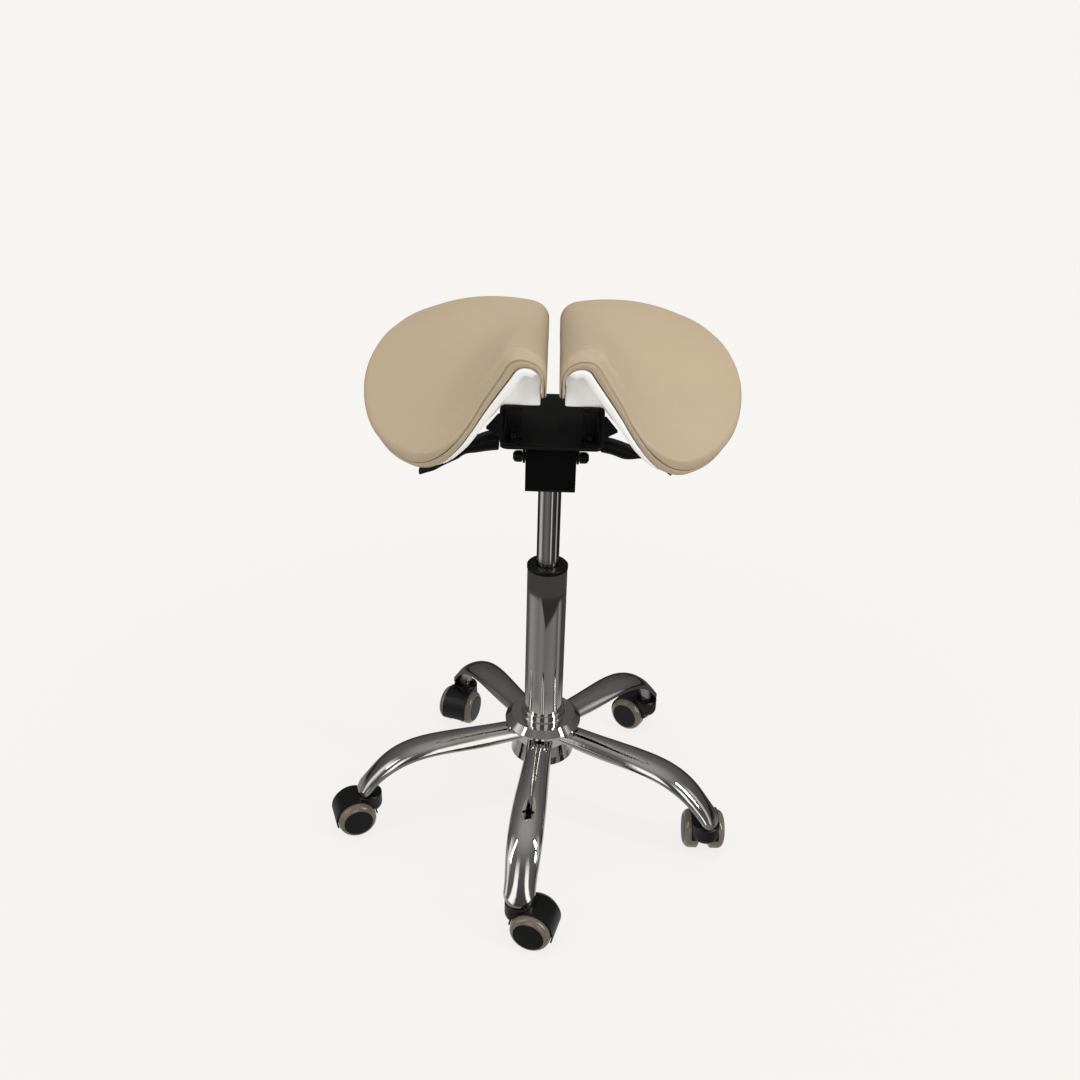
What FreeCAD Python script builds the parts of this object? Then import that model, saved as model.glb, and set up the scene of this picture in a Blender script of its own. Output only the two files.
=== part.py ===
import FreeCAD, Part
import math
import os
import Sketcher

Vector = FreeCAD.Vector
Rotation = FreeCAD.Rotation
Placement = FreeCAD.Placement

doc = FreeCAD.newDocument("SaddleStool")

# Driving dimensions, in millimetres and degrees. The origin is on the floor under the column.
dimensions = {
    # star base
    "armReach": 252.0,
    "armWidthRoot": 34.0,
    "armWidthElbow": 43.5,
    "armWidthTip": 37.0,
    "armWall": 2.0,
    "armTopHeight": 140.2,
    "armDepth": 15.5,
    "armRimHeight": 54.0,
    "armSlope": 0.074,
    "armTipHeight": 78.99238,
    "fallInset": 20.5,
    "fallBend": 24.7,
    "elbowInset": 67.0,
    "firstArmAngle": -95.3,
    # hub
    "sleeveFoot": 96.0,
    "sleeveRadius": 36.0,
    "sleeveFlare": 41.5,
    "flangeRadius": 50.0,
    "flangeTopRadius": 42.0,
    "flangeThickness": 12.6,
    "collarRadius": 27.6,
    "collarHeight": 10.0,
    # column
    "columnRadius": 25.0,
    "columnWall": 2.2,
    "columnFoot": 88.0,
    "columnTop": 374.0,
    "columnFloor": 3.0,
    "capThickness": 5.0,
    "capLip": 0.6,
    "capPlug": 6.0,
    "guideLength": 78.0,
    "slideClearance": 0.08,
    "fitClearance": 0.05,
    # gas spring
    "pistonRadius": 14.0,
    "cylinderWall": 2.0,
    "cylinderLength": 302.0,
    "cylinderTop": 530.0,
    "cylinderSeal": 12.0,
    "cylinderPlug": 30.0,
    "taperLength": 36.0,
    "taperDrop": 0.8,
    "rodRadius": 5.0,
    "rodHeadRise": 107.0,
    "rodHeadLength": 12.0,
    "stopHeight": 18.0,
    "pinRadius": 3.0,
    "pinLength": 31.2,
    "pinProud": 6.2,
    "pinGap": 0.3,
    # tilt mechanism
    "housingHalfWidth": 29.0,
    "housingFront": -43.0,
    "housingRear": 42.0,
    "housingRearRise": 28.0,
    "housingWall": 2.5,
    "housingCorner": 7.0,
    "socketWall": 5.5,
    "pivotForward": 28.0,
    "pivotRise": 4.0,
    "pivotRadius": 5.0,
    "pivotCapRadius": 6.8,
    "pivotCapLength": 10.5,
    "springWire": 1.7,
    "springTurns": 6.5,
    "springGap": 0.4,
    "springLeg": 15.0,
    # levers
    "leverRadius": 4.5,
    "leverPlay": 0.25,
    "leverRise": 0.8,
    "leverInner": 12.0,
    "fulcrumAcross": 21.5,
    "fulcrumRadius": 2.0,
    "lugInside": 6.2,
    "lugThickness": 2.5,
    "lugHalf": 4.0,
    "tiltLeverBack": 14.0,
    "leverEnd": 70.0,
    "gripRoot": 59.5,
    "gripTip": 150.0,
    "gripDrop": 42.0,
    "gripRootHeight": 18.0,
    "gripTipHeight": 6.0,
    "gripWidth": 25.0,
    # seat carrier
    "plateRise": 20.0,
    "plateThickness": 4.0,
    "plateHalfWidth": 58.0,
    "plateFront": -58.0,
    "plateRear": 104.0,
    "plateCorner": 10.0,
    "earThickness": 3.0,
    "earGap": 0.6,
    "earHalfWidth": 8.0,
    "strapInside": 21.5,
    "strapThickness": 3.0,
    "strapSlotGap": 0.3,
    "tiltUp": 10.0,
    "tiltDown": 6.0,
    "bracketSheet": 3.0,
    "bracketHeight": 46.0,
    "bracketFront": -55.0,
    "bracketRear": 100.0,
    "bracketLeg": 24.0,
    "bracketBend": 5.0,
    "boltX": 44.0,
    "boltFront": -36.0,
    "boltRear": 74.0,
    "boltRadius": 3.0,
    "boltHead": 5.5,
    "slotLength": 20.0,
    "screwRadius": 2.4,
    "tabScrew": 1.6,
    # seat halves
    "seatFront": -62.0,
    "seatRear": 187.0,
    "seatHalfWidth": 219.0,
    "slotHalfWidth": 7.0,
    "coverLeg": 6.0,
    "coverRise": 13.0,
    "archRise": 35.0,
    "archRadius": 20.0,
    "padding": 27.0,
    "hemRound": 16.0,
    "softGap": 0.5,
    "shellFront": 8.5,
    "shellBack": 5.0,
    "shellInset": 12.0,
    "shellProud": 2.0,
    "keelFront": -52.0,
    "keelRear": 110.0,
    "keelWidth": 45.0,
    "keelWall": 3.5,
    "keelPocket": 16.0,
    # castors
    "stemInset": 16.2,
    "stemRadius": 5.5,
    "journalRadius": 4.5,
    "stemFoot": 38.0,
    "stemFlange": 7.0,
    "socketTubeWall": 4.0,
    "wheelRadius": 25.0,
    "wheelWidth": 19.2,
    "wheelOffset": 17.0,
    "rimRadius": 19.0,
    "castorTrail": 19.7,
    "hoodHalfWidth": 17.5,
    "hoodGap": 0.8,
    "hoodWall": 1.9,
    "hoodWeb": 13.6,
    "bossFoot": 27.0,
    "bossRound": 9.0,
    "bossGap": 1.3,
    "hoodSlope": 12.5,
    "hoodTrim": 3.6,
    "axleRadius": 3.0,
    "axleHalfLength": 24.0,
}

sheet = doc.addObject("Spreadsheet::Sheet", "sizes")
for number, (alias, amount) in enumerate(dimensions.items(), start=1):
    sheet.set("A%d" % number, alias)
    sheet.set("B%d" % number, str(amount))
    sheet.setAlias("B%d" % number, alias)
doc.recompute()


class Size:
    """A length that knows its value now and the sheet expression that it comes from."""

    def __init__(self, value, text):
        self.value = float(value)
        self.text = text

    def __add__(self, other):
        other = size(other)
        return Size(self.value + other.value, "(%s + %s)" % (self.text, other.text))

    def __radd__(self, other):
        return size(other) + self

    def __sub__(self, other):
        other = size(other)
        return Size(self.value - other.value, "(%s - %s)" % (self.text, other.text))

    def __rsub__(self, other):
        return size(other) - self

    def __mul__(self, factor):
        return Size(self.value * factor, "(%s * %s)" % (self.text, factor))

    __rmul__ = __mul__

    def __neg__(self):
        return self * -1

    def __float__(self):
        return self.value


def size(thing):
    if isinstance(thing, Size):
        return thing
    return Size(thing, "%s" % float(thing))


class Sheet:
    """Looks a driving dimension up by its alias."""

    def __getattr__(self, alias):
        return Size(sheet.get(alias), "sizes." + alias)


S = Sheet()
nodes = {}


def bind(thing, name, amount):
    thing.setExpression(name, size(amount).text)


def place(thing, base=(0, 0, 0), turn=None):
    """Sets where a thing stands; its coordinates follow the sheet."""
    parts = [size(part) for part in base]
    thing.Placement = Placement(Vector(*[part.value for part in parts]), turn or Rotation())
    for axis, part in zip("xyz", parts):
        if "sizes." in part.text:
            bind(thing, "Placement.Base." + axis, part)
    return thing


def node(label, thing):
    thing.Label = label
    nodes[label] = thing
    return thing


def cylinder(radius, length, base=(0, 0, 0), turn=None):
    thing = doc.addObject("Part::Cylinder", "rod")
    bind(thing, "Radius", radius)
    bind(thing, "Height", length)
    return place(thing, base, turn)


def box(length, width, height, base):
    thing = doc.addObject("Part::Box", "block")
    bind(thing, "Length", length)
    bind(thing, "Width", width)
    bind(thing, "Height", height)
    return place(thing, base)


def cut(base, *tools):
    for tool in tools:
        thing = doc.addObject("Part::Cut", "cut")
        thing.Base = base
        thing.Tool = tool
        base = thing
    return base


def common(base, tool):
    thing = doc.addObject("Part::Common", "common")
    thing.Base = base
    thing.Tool = tool
    return thing


def fuse(*things):
    thing = doc.addObject("Part::MultiFuse", "fused")
    thing.Shapes = list(things)
    return thing


def group(things):
    thing = doc.addObject("Part::Compound", "group")
    thing.Links = list(things)
    return thing


def mirrored(thing):
    """The same form on the left of the middle plane."""
    twin = doc.addObject("Part::Mirroring", "mirrored")
    twin.Source = thing
    twin.Normal = Vector(1, 0, 0)
    return twin


def form(shape, base=(0, 0, 0), turn=None):
    """A form worked out here from the sheet's values."""
    thing = doc.addObject("Part::Feature", "form")
    thing.Shape = shape
    return place(thing, base, turn)


def originPlane(body, role):
    for feature in body.Origin.OriginFeatures:
        if feature.Role == role:
            return feature
    raise ValueError(role)


def curve(start, end, bend):
    """The arc from start to end; a positive bend has its centre on the left, a negative one on the right."""
    radius = abs(bend)
    chord = end.sub(start)
    reach = math.sqrt(max(radius ** 2 - chord.Length ** 2 / 4.0, 0.0))
    across = Vector(-chord.y, chord.x, 0).normalize() * math.copysign(reach, bend)
    centre = (start + end) * 0.5 + across
    first, last = (start, end) if bend > 0 else (end, start)
    angles = [math.atan2(point.y - centre.y, point.x - centre.x) for point in (first, last)]
    return Part.ArcOfCircle(Part.Circle(centre, Vector(0, 0, 1), radius), angles[0], angles[1])


def outline(body, plane, corners):
    """A closed sketch through corners (across, up); a third entry bends the side that starts there."""
    sketch = body.newObject("Sketcher::SketchObject", "sketch")
    sketch.AttachmentSupport = (originPlane(body, plane), [""])
    sketch.MapMode = "FlatFace"
    count = len(corners)
    fixed = [(size(corner[0]), size(corner[1])) for corner in corners]
    points = [Vector(across.value, up.value, 0) for across, up in fixed]
    ends = []
    for index, corner in enumerate(corners):
        start, end = points[index], points[(index + 1) % count]
        if len(corner) == 2:
            sketch.addGeometry(Part.LineSegment(start, end), False)
            ends.append((1, 2))
            continue
        bend = size(corner[2])
        sketch.addGeometry(curve(start, end, bend.value), False)
        ends.append((1, 2) if bend.value > 0 else (2, 1))
    for index in range(count):
        following = (index + 1) % count
        sketch.addConstraint(
            Sketcher.Constraint("Coincident", index, ends[index][1], following, ends[following][0]))
    for index, (across, up) in enumerate(fixed):
        for kind, line, amount in (("DistanceX", -2, across), ("DistanceY", -1, up)):
            corner = ends[index][0]
            if abs(amount.value) < 1e-9:
                sketch.addConstraint(Sketcher.Constraint("PointOnObject", index, corner, line))
                continue
            row = sketch.addConstraint(Sketcher.Constraint(kind, -1, 1, index, corner, amount.value))
            sketch.setExpression("Constraints[%d]" % row, amount.text)
    for index, corner in enumerate(corners):
        if len(corner) == 3:
            bend = size(corner[2])
            bend = bend if bend.value > 0 else -bend
            row = sketch.addConstraint(Sketcher.Constraint("Radius", index, bend.value))
            sketch.setExpression("Constraints[%d]" % row, bend.text)
    return sketch


def turned(corners, base=(0, 0, 0), turn=None):
    """A body of revolution about its own Z axis from corners (radius, height)."""
    body = doc.addObject("PartDesign::Body", "turned")
    sketch = outline(body, "XZ_Plane", corners)
    feature = body.newObject("PartDesign::Revolution", "revolution")
    feature.Profile = sketch
    feature.ReferenceAxis = (sketch, ["V_Axis"])
    feature.Angle = 360
    return place(body, base, turn)


def padded(plane, corners, thickness, base=(0, 0, 0), midplane=False):
    """A plate of even thickness with the outline given."""
    body = doc.addObject("PartDesign::Body", "plate")
    sketch = outline(body, plane, corners)
    feature = body.newObject("PartDesign::Pad", "pad")
    feature.Profile = sketch
    feature.Midplane = midplane
    bind(feature, "Length", thickness)
    return place(body, base)


def roundedSlot(length, radius, depth, middle):
    """A slot along X with round ends, from middle upwards."""
    x, y, z = [size(part) for part in middle]
    half = length * 0.5 - radius
    return fuse(
        box(half * 2, radius * 2, depth, (x - half, y - radius, z)),
        cylinder(radius, depth, (x - half, y, z)),
        cylinder(radius, depth, (x + half, y, z)))


def onCircle(radius, degrees):
    """A point at a bearing on a circle round the column, as two sizes."""
    angle = math.radians(degrees)
    return radius * math.cos(angle), radius * math.sin(angle)


alongX = Rotation(Vector(0, 0, 1), Vector(1, 0, 0))
againstX = Rotation(Vector(0, 0, 1), Vector(-1, 0, 0))
againstY = Rotation(Vector(0, 0, 1), Vector(0, -1, 0))

# Distances that follow the arm's reach
stemCircle = S.armReach - S.stemInset
elbow = S.armReach - S.elbowInset
fallStart = S.armReach - S.fallInset

# Heights that follow one another up the column
flangeFoot = S.armTopHeight + 0.8
columnBed = S.columnRadius + S.fitClearance
tubeBore = S.columnRadius - S.columnWall
slideBore = S.pistonRadius + S.slideClearance
floorTop = S.columnFoot + S.columnFloor
washerThickness = 2.0
bearingTop = floorTop + 3 * washerThickness
stopFoot = bearingTop + 2
housingFloor = S.cylinderTop - S.taperLength
cylinderFoot = S.cylinderTop - S.cylinderLength
rodHead = cylinderFoot + S.rodHeadRise
pinTop = S.cylinderTop + S.pinProud
leverHeight = pinTop + S.pinGap + S.leverRadius
housingTop = leverHeight + S.leverRadius + 1.5
pivotHeight = S.cylinderTop + S.pivotRise
plateFoot = pivotHeight + S.plateRise
plateTop = plateFoot + S.plateThickness
keelFoot = plateTop + S.bracketHeight


# Hub: sleeve welded round the column, and the bevelled flange above the arms
def addHub():
    knee = S.sleeveFoot + 9
    flangeTop = flangeFoot + S.flangeThickness
    collarTop = flangeTop + S.collarHeight
    node("hub_sleeve", turned([
        (columnBed, S.sleeveFoot),
        (S.sleeveFlare, S.sleeveFoot),
        (S.sleeveRadius + 3, knee),
        (S.sleeveRadius, knee + 14),
        (S.sleeveRadius, flangeFoot),
        (columnBed, flangeFoot),
    ]))
    node("hub_cover", turned([
        (columnBed, flangeFoot),
        (S.flangeRadius - 1.5, flangeFoot),
        (S.flangeRadius, flangeFoot + 1.5),
        (S.flangeRadius, flangeFoot + 4.5),
        (S.flangeTopRadius, flangeTop),
        (S.collarRadius + 1.5, flangeTop),
        (S.collarRadius, flangeTop + 1.5),
        (S.collarRadius, collarTop - 1),
        (S.collarRadius - 1, collarTop),
        (columnBed, collarTop),
    ]))


# Arms: pressed channels, open below, that fall steeply past the elbow
def soft(amount, width):
    """Zero well below nought and the amount itself well above it, with a bend of the width between."""
    return width * math.log(1.0 + math.exp(amount / width))


def armStation(radius):
    """Top, rim and width of the channel at a distance from the column."""
    start, slope = S.columnRadius.value, S.armSlope.value

    def fallen(distance):
        bend = S.fallBend.value
        return soft(distance - fallStart.value, bend) - soft(start - fallStart.value, bend)

    # steep enough past the elbow to reach the tip's height over the stem
    descent = S.armTopHeight.value - S.armTipHeight.value - slope * (stemCircle.value - start)
    top = S.armTopHeight.value - slope * (radius - start) - descent / fallen(stemCircle.value) * fallen(radius)
    # the channel is deepest near the hub and near the tip
    depth = S.armDepth.value * (1.0 + 0.12 * math.cos(math.pi * (radius - 80.0) / 80.0))
    foot = S.armRimHeight.value
    rim = foot + soft(top - depth - foot, 3.0)
    widths = (S.armWidthRoot.value, S.armWidthElbow.value)
    share = (radius - start) / (elbow.value - start)
    if radius > elbow.value:
        widths = (S.armWidthElbow.value, S.armWidthTip.value)
        share = min((radius - elbow.value) / S.elbowInset.value, 1.0)
    width = widths[0] + (widths[1] - widths[0]) * (1.0 - math.cos(math.pi * share)) / 2.0
    return max(top, rim + 1.0), rim, width


def channel(radius, top, rim, width, skirt=0.0):
    """One upright section across the arm: a rounded back, with sides that may run on below the rim."""

    def at(degrees):
        # an oval of power 2.2, so that the sides leave the rim upright
        across, up = math.cos(math.radians(degrees)), math.sin(math.radians(degrees))
        across = math.copysign(abs(across) ** (2.0 / 2.2), across)
        return Vector(radius, width / 2.0 * across, rim + (top - rim) * up ** (2.0 / 2.2))

    left, right = at(0.0), at(180.0)
    low, high = left - Vector(0, 0, skirt), right - Vector(0, 0, skirt)
    edges = [
        Part.Arc(left, at(22.5), at(45.0)),
        Part.Arc(at(45.0), at(67.5), at(90.0)),
        Part.Arc(at(90.0), at(112.5), at(135.0)),
        Part.Arc(at(135.0), at(157.5), right),
    ]
    if skirt:
        edges = [Part.LineSegment(low, left)] + edges + [Part.LineSegment(right, high)]
    edges.append(Part.LineSegment(high, low))
    return Part.Wire([edge.toShape() for edge in edges])


def armPlan(inset):
    """The arm's round-ended outline from above, as a tall block."""
    tip = 0.55 * S.armWidthTip.value
    middle = S.armReach.value - 1.5 - tip
    tall = S.armTopHeight.value + 60.0
    block = Part.makeBox(middle, 80.0, tall, Vector(0, -40.0, 0))
    return block.fuse(Part.makeCylinder(tip - inset, tall, Vector(middle, 0, 0)))


def armForms():
    """The channel itself, and the room inside it down to below the rim."""
    wall = S.armWall.value
    count = 13
    first, last = S.columnRadius.value + 2.0, S.armReach.value - 1.0
    outer = []
    inner = []
    for step in range(count):
        radius = first + (last - first) * step / (count - 1)
        top, rim, width = armStation(radius)
        outer.append(channel(radius, top, rim, width))
        inner.append(channel(radius, top - wall, min(rim, top - wall - 0.8), width - 2.0 * wall, 12.0))
    outside = Part.makeLoft(outer, True, False).common(armPlan(0.0))
    room = Part.makeLoft(inner, True, False).common(armPlan(wall))
    hub = Part.makeCylinder(S.sleeveRadius.value, 80.0, Vector(0, 0, S.sleeveFoot.value))
    shape = outside.cut(room).cut(hub)
    return max(shape.Solids, key=lambda piece: piece.Volume), room


armNames = ["front", "right", "back_right", "back_left", "left"]
trailAngles = [343.5, 90.0, 146.6, 249.3, 201.0]
socketFoot = S.armRimHeight + 0.6


def armAngle(index):
    return S.firstArmAngle.value + 72.0 * index


def addArms():
    shape, room = armForms()
    tubes = []
    stems = []
    tubeOutside = S.stemRadius.value + S.socketTubeWall.value
    rise = S.armTopHeight.value - socketFoot.value
    middle = Vector(stemCircle.value, 0, socketFoot.value)
    tube = Part.makeCylinder(tubeOutside, rise, middle)
    tube = tube.cut(Part.makeCylinder(S.stemRadius.value + S.fitClearance.value, rise, middle))
    tube = tube.common(room)
    tube = max(tube.Solids, key=lambda piece: piece.Volume)
    for index, name in enumerate(armNames):
        turn = Rotation(Vector(0, 0, 1), armAngle(index))
        node("arm_" + name, form(shape, (0, 0, 0), turn))
        tubes.append(form(tube, (0, 0, 0), turn))
        x, y = onCircle(stemCircle, armAngle(index))
        stems.append(turned([
            (0, S.stemFoot),
            (S.journalRadius, S.stemFoot),
            (S.journalRadius, socketFoot - 1.6),
            (S.stemFlange, socketFoot - 1.6),
            (S.stemFlange, socketFoot),
            (S.stemRadius, socketFoot),
            (S.stemRadius, socketFoot + 8),
            (0, socketFoot + 8),
        ], (x, y, 0)))
    node("caster_sockets", group(tubes))
    node("caster_stems", group(stems))


# Column: fixed tube with its floor, cap, guide and bearing
def addColumn():
    rodHole = S.rodRadius + S.slideClearance
    node("column_tube", turned([
        (rodHole, S.columnFoot),
        (S.columnRadius, S.columnFoot),
        (S.columnRadius, S.columnTop),
        (tubeBore, S.columnTop),
        (tubeBore, floorTop),
        (rodHole, floorTop),
    ]))
    capTop = S.columnTop + S.capThickness
    plugFoot = S.columnTop - S.capPlug
    plug = tubeBore - S.fitClearance
    node("column_cap", turned([
        (slideBore, plugFoot),
        (plug, plugFoot),
        (plug, S.columnTop),
        (S.columnRadius + S.capLip, S.columnTop),
        (S.columnRadius + S.capLip, capTop - 1.2),
        (S.columnRadius + S.capLip - 1.2, capTop),
        (S.pistonRadius + 4, capTop),
        (slideBore, capTop - 1),
    ]))
    guideFoot = plugFoot - S.guideLength
    node("guide_bush", turned([
        (slideBore, guideFoot),
        (plug, guideFoot),
        (plug, guideFoot + 12),
        (plug - 2, guideFoot + 14),
        (plug - 2, plugFoot - 14),
        (plug, plugFoot - 12),
        (plug, plugFoot),
        (slideBore, plugFoot),
    ]))
    bearing = []
    for level, (inner, outer) in enumerate([(6, 14), (7, 12.5), (6, 14)]):
        foot = floorTop + level * washerThickness
        rim = foot + washerThickness
        bearing.append(turned([(inner, foot), (outer, foot), (outer, rim), (inner, rim)]))
    node("thrust_bearing", group(bearing))


# Gas spring: rod with its head below, cylinder with its taper above
def addGasSpring():
    clipFoot = S.columnFoot - 2.6
    clipTop = clipFoot + 2
    neck = S.rodRadius - 0.8
    head = S.pistonRadius - S.cylinderWall - 0.1
    headFoot = rodHead - S.rodHeadLength
    node("piston_rod", turned([
        (0, clipFoot - 2),
        (S.rodRadius - 0.6, clipFoot - 2),
        (S.rodRadius, clipFoot - 1.4),
        (S.rodRadius, clipFoot),
        (neck, clipFoot),
        (neck, clipTop),
        (S.rodRadius, clipTop),
        (S.rodRadius, bearingTop),
        (S.rodRadius + 4, bearingTop),
        (S.rodRadius + 4, stopFoot),
        (S.rodRadius, stopFoot),
        (S.rodRadius, headFoot),
        (head, headFoot),
        (head, rodHead),
        (0, rodHead),
    ]))
    node("rod_clip", turned([
        (neck + S.fitClearance, clipFoot + 0.2),
        (S.rodRadius + 4, clipFoot + 0.2),
        (S.rodRadius + 4, clipTop - 0.2),
        (neck + S.fitClearance, clipTop - 0.2),
    ]))
    stopTop = stopFoot + S.stopHeight
    node("bump_stop", turned([
        (S.rodRadius + S.fitClearance, stopFoot),
        (S.rodRadius + 5, stopFoot),
        (S.rodRadius + 3.5, stopFoot + S.stopHeight * 0.5),
        (S.rodRadius + 4.5, stopTop),
        (S.rodRadius + S.fitClearance, stopTop),
    ]))
    foot = cylinderFoot
    inside = S.pistonRadius - S.cylinderWall
    rodHole = S.rodRadius + S.slideClearance
    pinHole = S.pinRadius + S.slideClearance
    node("gas_cylinder", turned([
        (rodHole, foot),
        (S.pistonRadius - 1, foot),
        (S.pistonRadius, foot + 1),
        (S.pistonRadius, housingFloor),
        (S.pistonRadius - S.taperDrop, S.cylinderTop),
        (pinHole, S.cylinderTop),
        (pinHole, pinTop - S.pinLength - 3),
        (0, pinTop - S.pinLength - 3),
        (0, S.cylinderTop - S.cylinderPlug),
        (inside, S.cylinderTop - S.cylinderPlug),
        (inside, foot + S.cylinderSeal),
        (rodHole, foot + S.cylinderSeal),
    ]))
    node("release_pin", turned([
        (0, pinTop - S.pinLength),
        (S.pinRadius, pinTop - S.pinLength),
        (S.pinRadius, pinTop - 0.8),
        (S.pinRadius - 0.8, pinTop),
        (0, pinTop),
    ]))
    bed = S.pistonRadius + S.fitClearance
    node("taper_socket", turned([
        (bed, housingFloor),
        (S.pistonRadius + S.socketWall, housingFloor),
        (S.pistonRadius + S.socketWall, S.cylinderTop + 0.4),
        (S.pistonRadius + S.socketWall - 0.6, S.cylinderTop + 1),
        (bed - S.taperDrop, S.cylinderTop + 1),
        (bed - S.taperDrop, S.cylinderTop),
    ]))


# Tilt housing: folded steel box, open above, with the pivot near its front and two lugs for the right lever
def addHousing():
    wall = S.housingWall
    corner = S.housingCorner
    leverY = S.tiltLeverBack
    outside = padded("YZ_Plane", [
        (S.housingFront, housingFloor + corner, corner),
        (S.housingFront + corner, housingFloor),
        (S.housingRear, housingFloor),
        (S.housingRear, housingFloor + S.housingRearRise),
        (leverY + 12, housingTop),
        (S.housingFront, housingTop),
    ], S.housingHalfWidth * 2, midplane=True)
    inner = corner - wall
    inside = padded("YZ_Plane", [
        (S.housingFront + wall, housingFloor + corner, inner),
        (S.housingFront + corner, housingFloor + wall),
        (S.housingRear - wall, housingFloor + wall),
        (S.housingRear - wall, housingTop + 5),
        (S.housingFront + wall, housingTop + 5),
    ], (S.housingHalfWidth - wall) * 2, midplane=True)
    length = S.housingHalfWidth * 2 + 2
    left = -(S.housingHalfWidth + 1)
    wallInside = S.housingHalfWidth - wall
    lugFront = S.fulcrumAcross - S.lugHalf
    lugLength = wallInside - lugFront + 1
    lugFoot = leverHeight - S.lugHalf
    lugs = []
    for y in (S.lugInside, -S.lugInside - S.lugThickness):
        lugs.append(box(lugLength, S.lugThickness, S.lugHalf * 2, (lugFront, y, lugFoot)))
    lugSpan = (S.lugInside + S.lugThickness) * 2 + 2
    hole = S.leverRadius + S.leverPlay
    node("mech_housing", cut(
        fuse(cut(outside, inside), *lugs),
        cylinder(S.pistonRadius + S.socketWall, 20, (0, 0, housingFloor - 10)),
        cylinder(S.pivotRadius, length, (left, -S.pivotForward, pivotHeight), alongX),
        cylinder(
            S.fulcrumRadius + S.fitClearance, lugSpan, (S.fulcrumAcross, lugSpan * 0.5, leverHeight), againstY),
        cylinder(hole, wall + 2, (wallInside - 1, 0, leverHeight), alongX),
        box(wall + 2, hole * 2, S.leverRise, (wallInside - 1, -hole, leverHeight)),
        cylinder(hole, wall + 2, (wallInside - 1, 0, leverHeight + S.leverRise), alongX),
        cylinder(S.leverRadius + 0.06, wall + 2, (-S.housingHalfWidth - 1, leverY, leverHeight), alongX)))


def addPivot():
    capFoot = S.housingHalfWidth + S.earGap * 2 + S.earThickness
    shaftEnd = capFoot + S.pivotCapLength - 1.7
    axle = (-shaftEnd, -S.pivotForward, pivotHeight)
    node("pivot_shaft", cylinder(S.pivotRadius, shaftEnd * 2, axle, alongX))
    profile = [
        (S.pivotRadius, 0),
        (S.pivotCapRadius, 0),
        (S.pivotCapRadius, S.pivotCapLength - 4),
        (S.pivotCapRadius - 1, S.pivotCapLength - 1.7),
        (S.pivotCapRadius - 3.5, S.pivotCapLength),
        (0, S.pivotCapLength),
        (0, S.pivotCapLength - 1.7),
        (S.pivotRadius, S.pivotCapLength - 1.7),
    ]
    node("pivot_caps", group([
        turned(profile, (capFoot, -S.pivotForward, pivotHeight), alongX),
        turned(profile, (-capFoot, -S.pivotForward, pivotHeight), againstX)]))


# Tilt spring: one unbroken wire wound round the pivot shaft, with both legs towards the rear
def biarc(start, startWay, end, endWay):
    """Two tangent arcs from start to end whose first and last directions are given."""
    chord = end.sub(start)
    ways = startWay + endWay
    a = 4.0 - ways.dot(ways)
    b = chord.dot(ways)
    reach = (-b + math.sqrt(b * b + a * chord.dot(chord))) / a
    knees = [start + startWay * reach, end - endWay * reach]
    joint = (knees[0] + knees[1]) * 0.5
    edges = []
    for first, knee, last in ((start, knees[0], joint), (joint, knees[1], end)):
        weight = first.distanceToPoint(last) / (2.0 * first.distanceToPoint(knee))
        middle = (first + knee * (2.0 * weight) + last) * (1.0 / (2.0 + 2.0 * weight))
        edges.append(Part.Arc(first, middle, last).toShape())
    return edges


def addTiltSpring():
    wire, turns, leg = S.springWire.value, S.springTurns.value, S.springLeg.value
    mean = S.pivotRadius.value + S.springGap.value + wire
    half = S.housingHalfWidth.value - S.housingWall.value - wire - 2.6
    pitch = 2.0 * half / turns
    centreY, centreZ = -S.pivotForward.value, pivotHeight.value

    def point(turn):
        # x runs on by one pitch a turn; y and z go round the shaft from its underside
        angle = 2.0 * math.pi * turn
        return Vector(-half + pitch * turn, centreY - mean * math.sin(angle), centreZ - mean * math.cos(angle))

    def way(turn):
        angle = 2.0 * math.pi * turn
        direction = Vector(pitch, -2.0 * math.pi * mean * math.cos(angle), 2.0 * math.pi * mean * math.sin(angle))
        return direction.normalize()

    steps = int(round(turns * 2))
    marks = [turns * step / steps for step in range(steps + 1)]
    start = point(0.0) - way(0.0) * leg
    end = point(turns) + way(turns) * leg
    edges = [Part.LineSegment(start, point(0.0)).toShape()]
    for first, last in zip(marks[:-1], marks[1:]):
        edges += biarc(point(first), way(first), point(last), way(last))
    edges.append(Part.LineSegment(point(turns), end).toShape())
    section = Part.Wire(Part.Circle(start, way(0.0), wire).toShape())
    coil = Part.Wire(edges).makePipeShell([section], True, False)
    samples = [point(turns * step / 400.0) for step in range(401)]
    apart = int(400 * 0.6 / turns)
    least = min(
        first.distanceToPoint(second) - 2.0 * wire
        for index, first in enumerate(samples) for second in samples[index + apart:])
    print("tilt spring: least gap between turns %.2f mm" % least)
    node("tilt_spring", form(coil))


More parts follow.
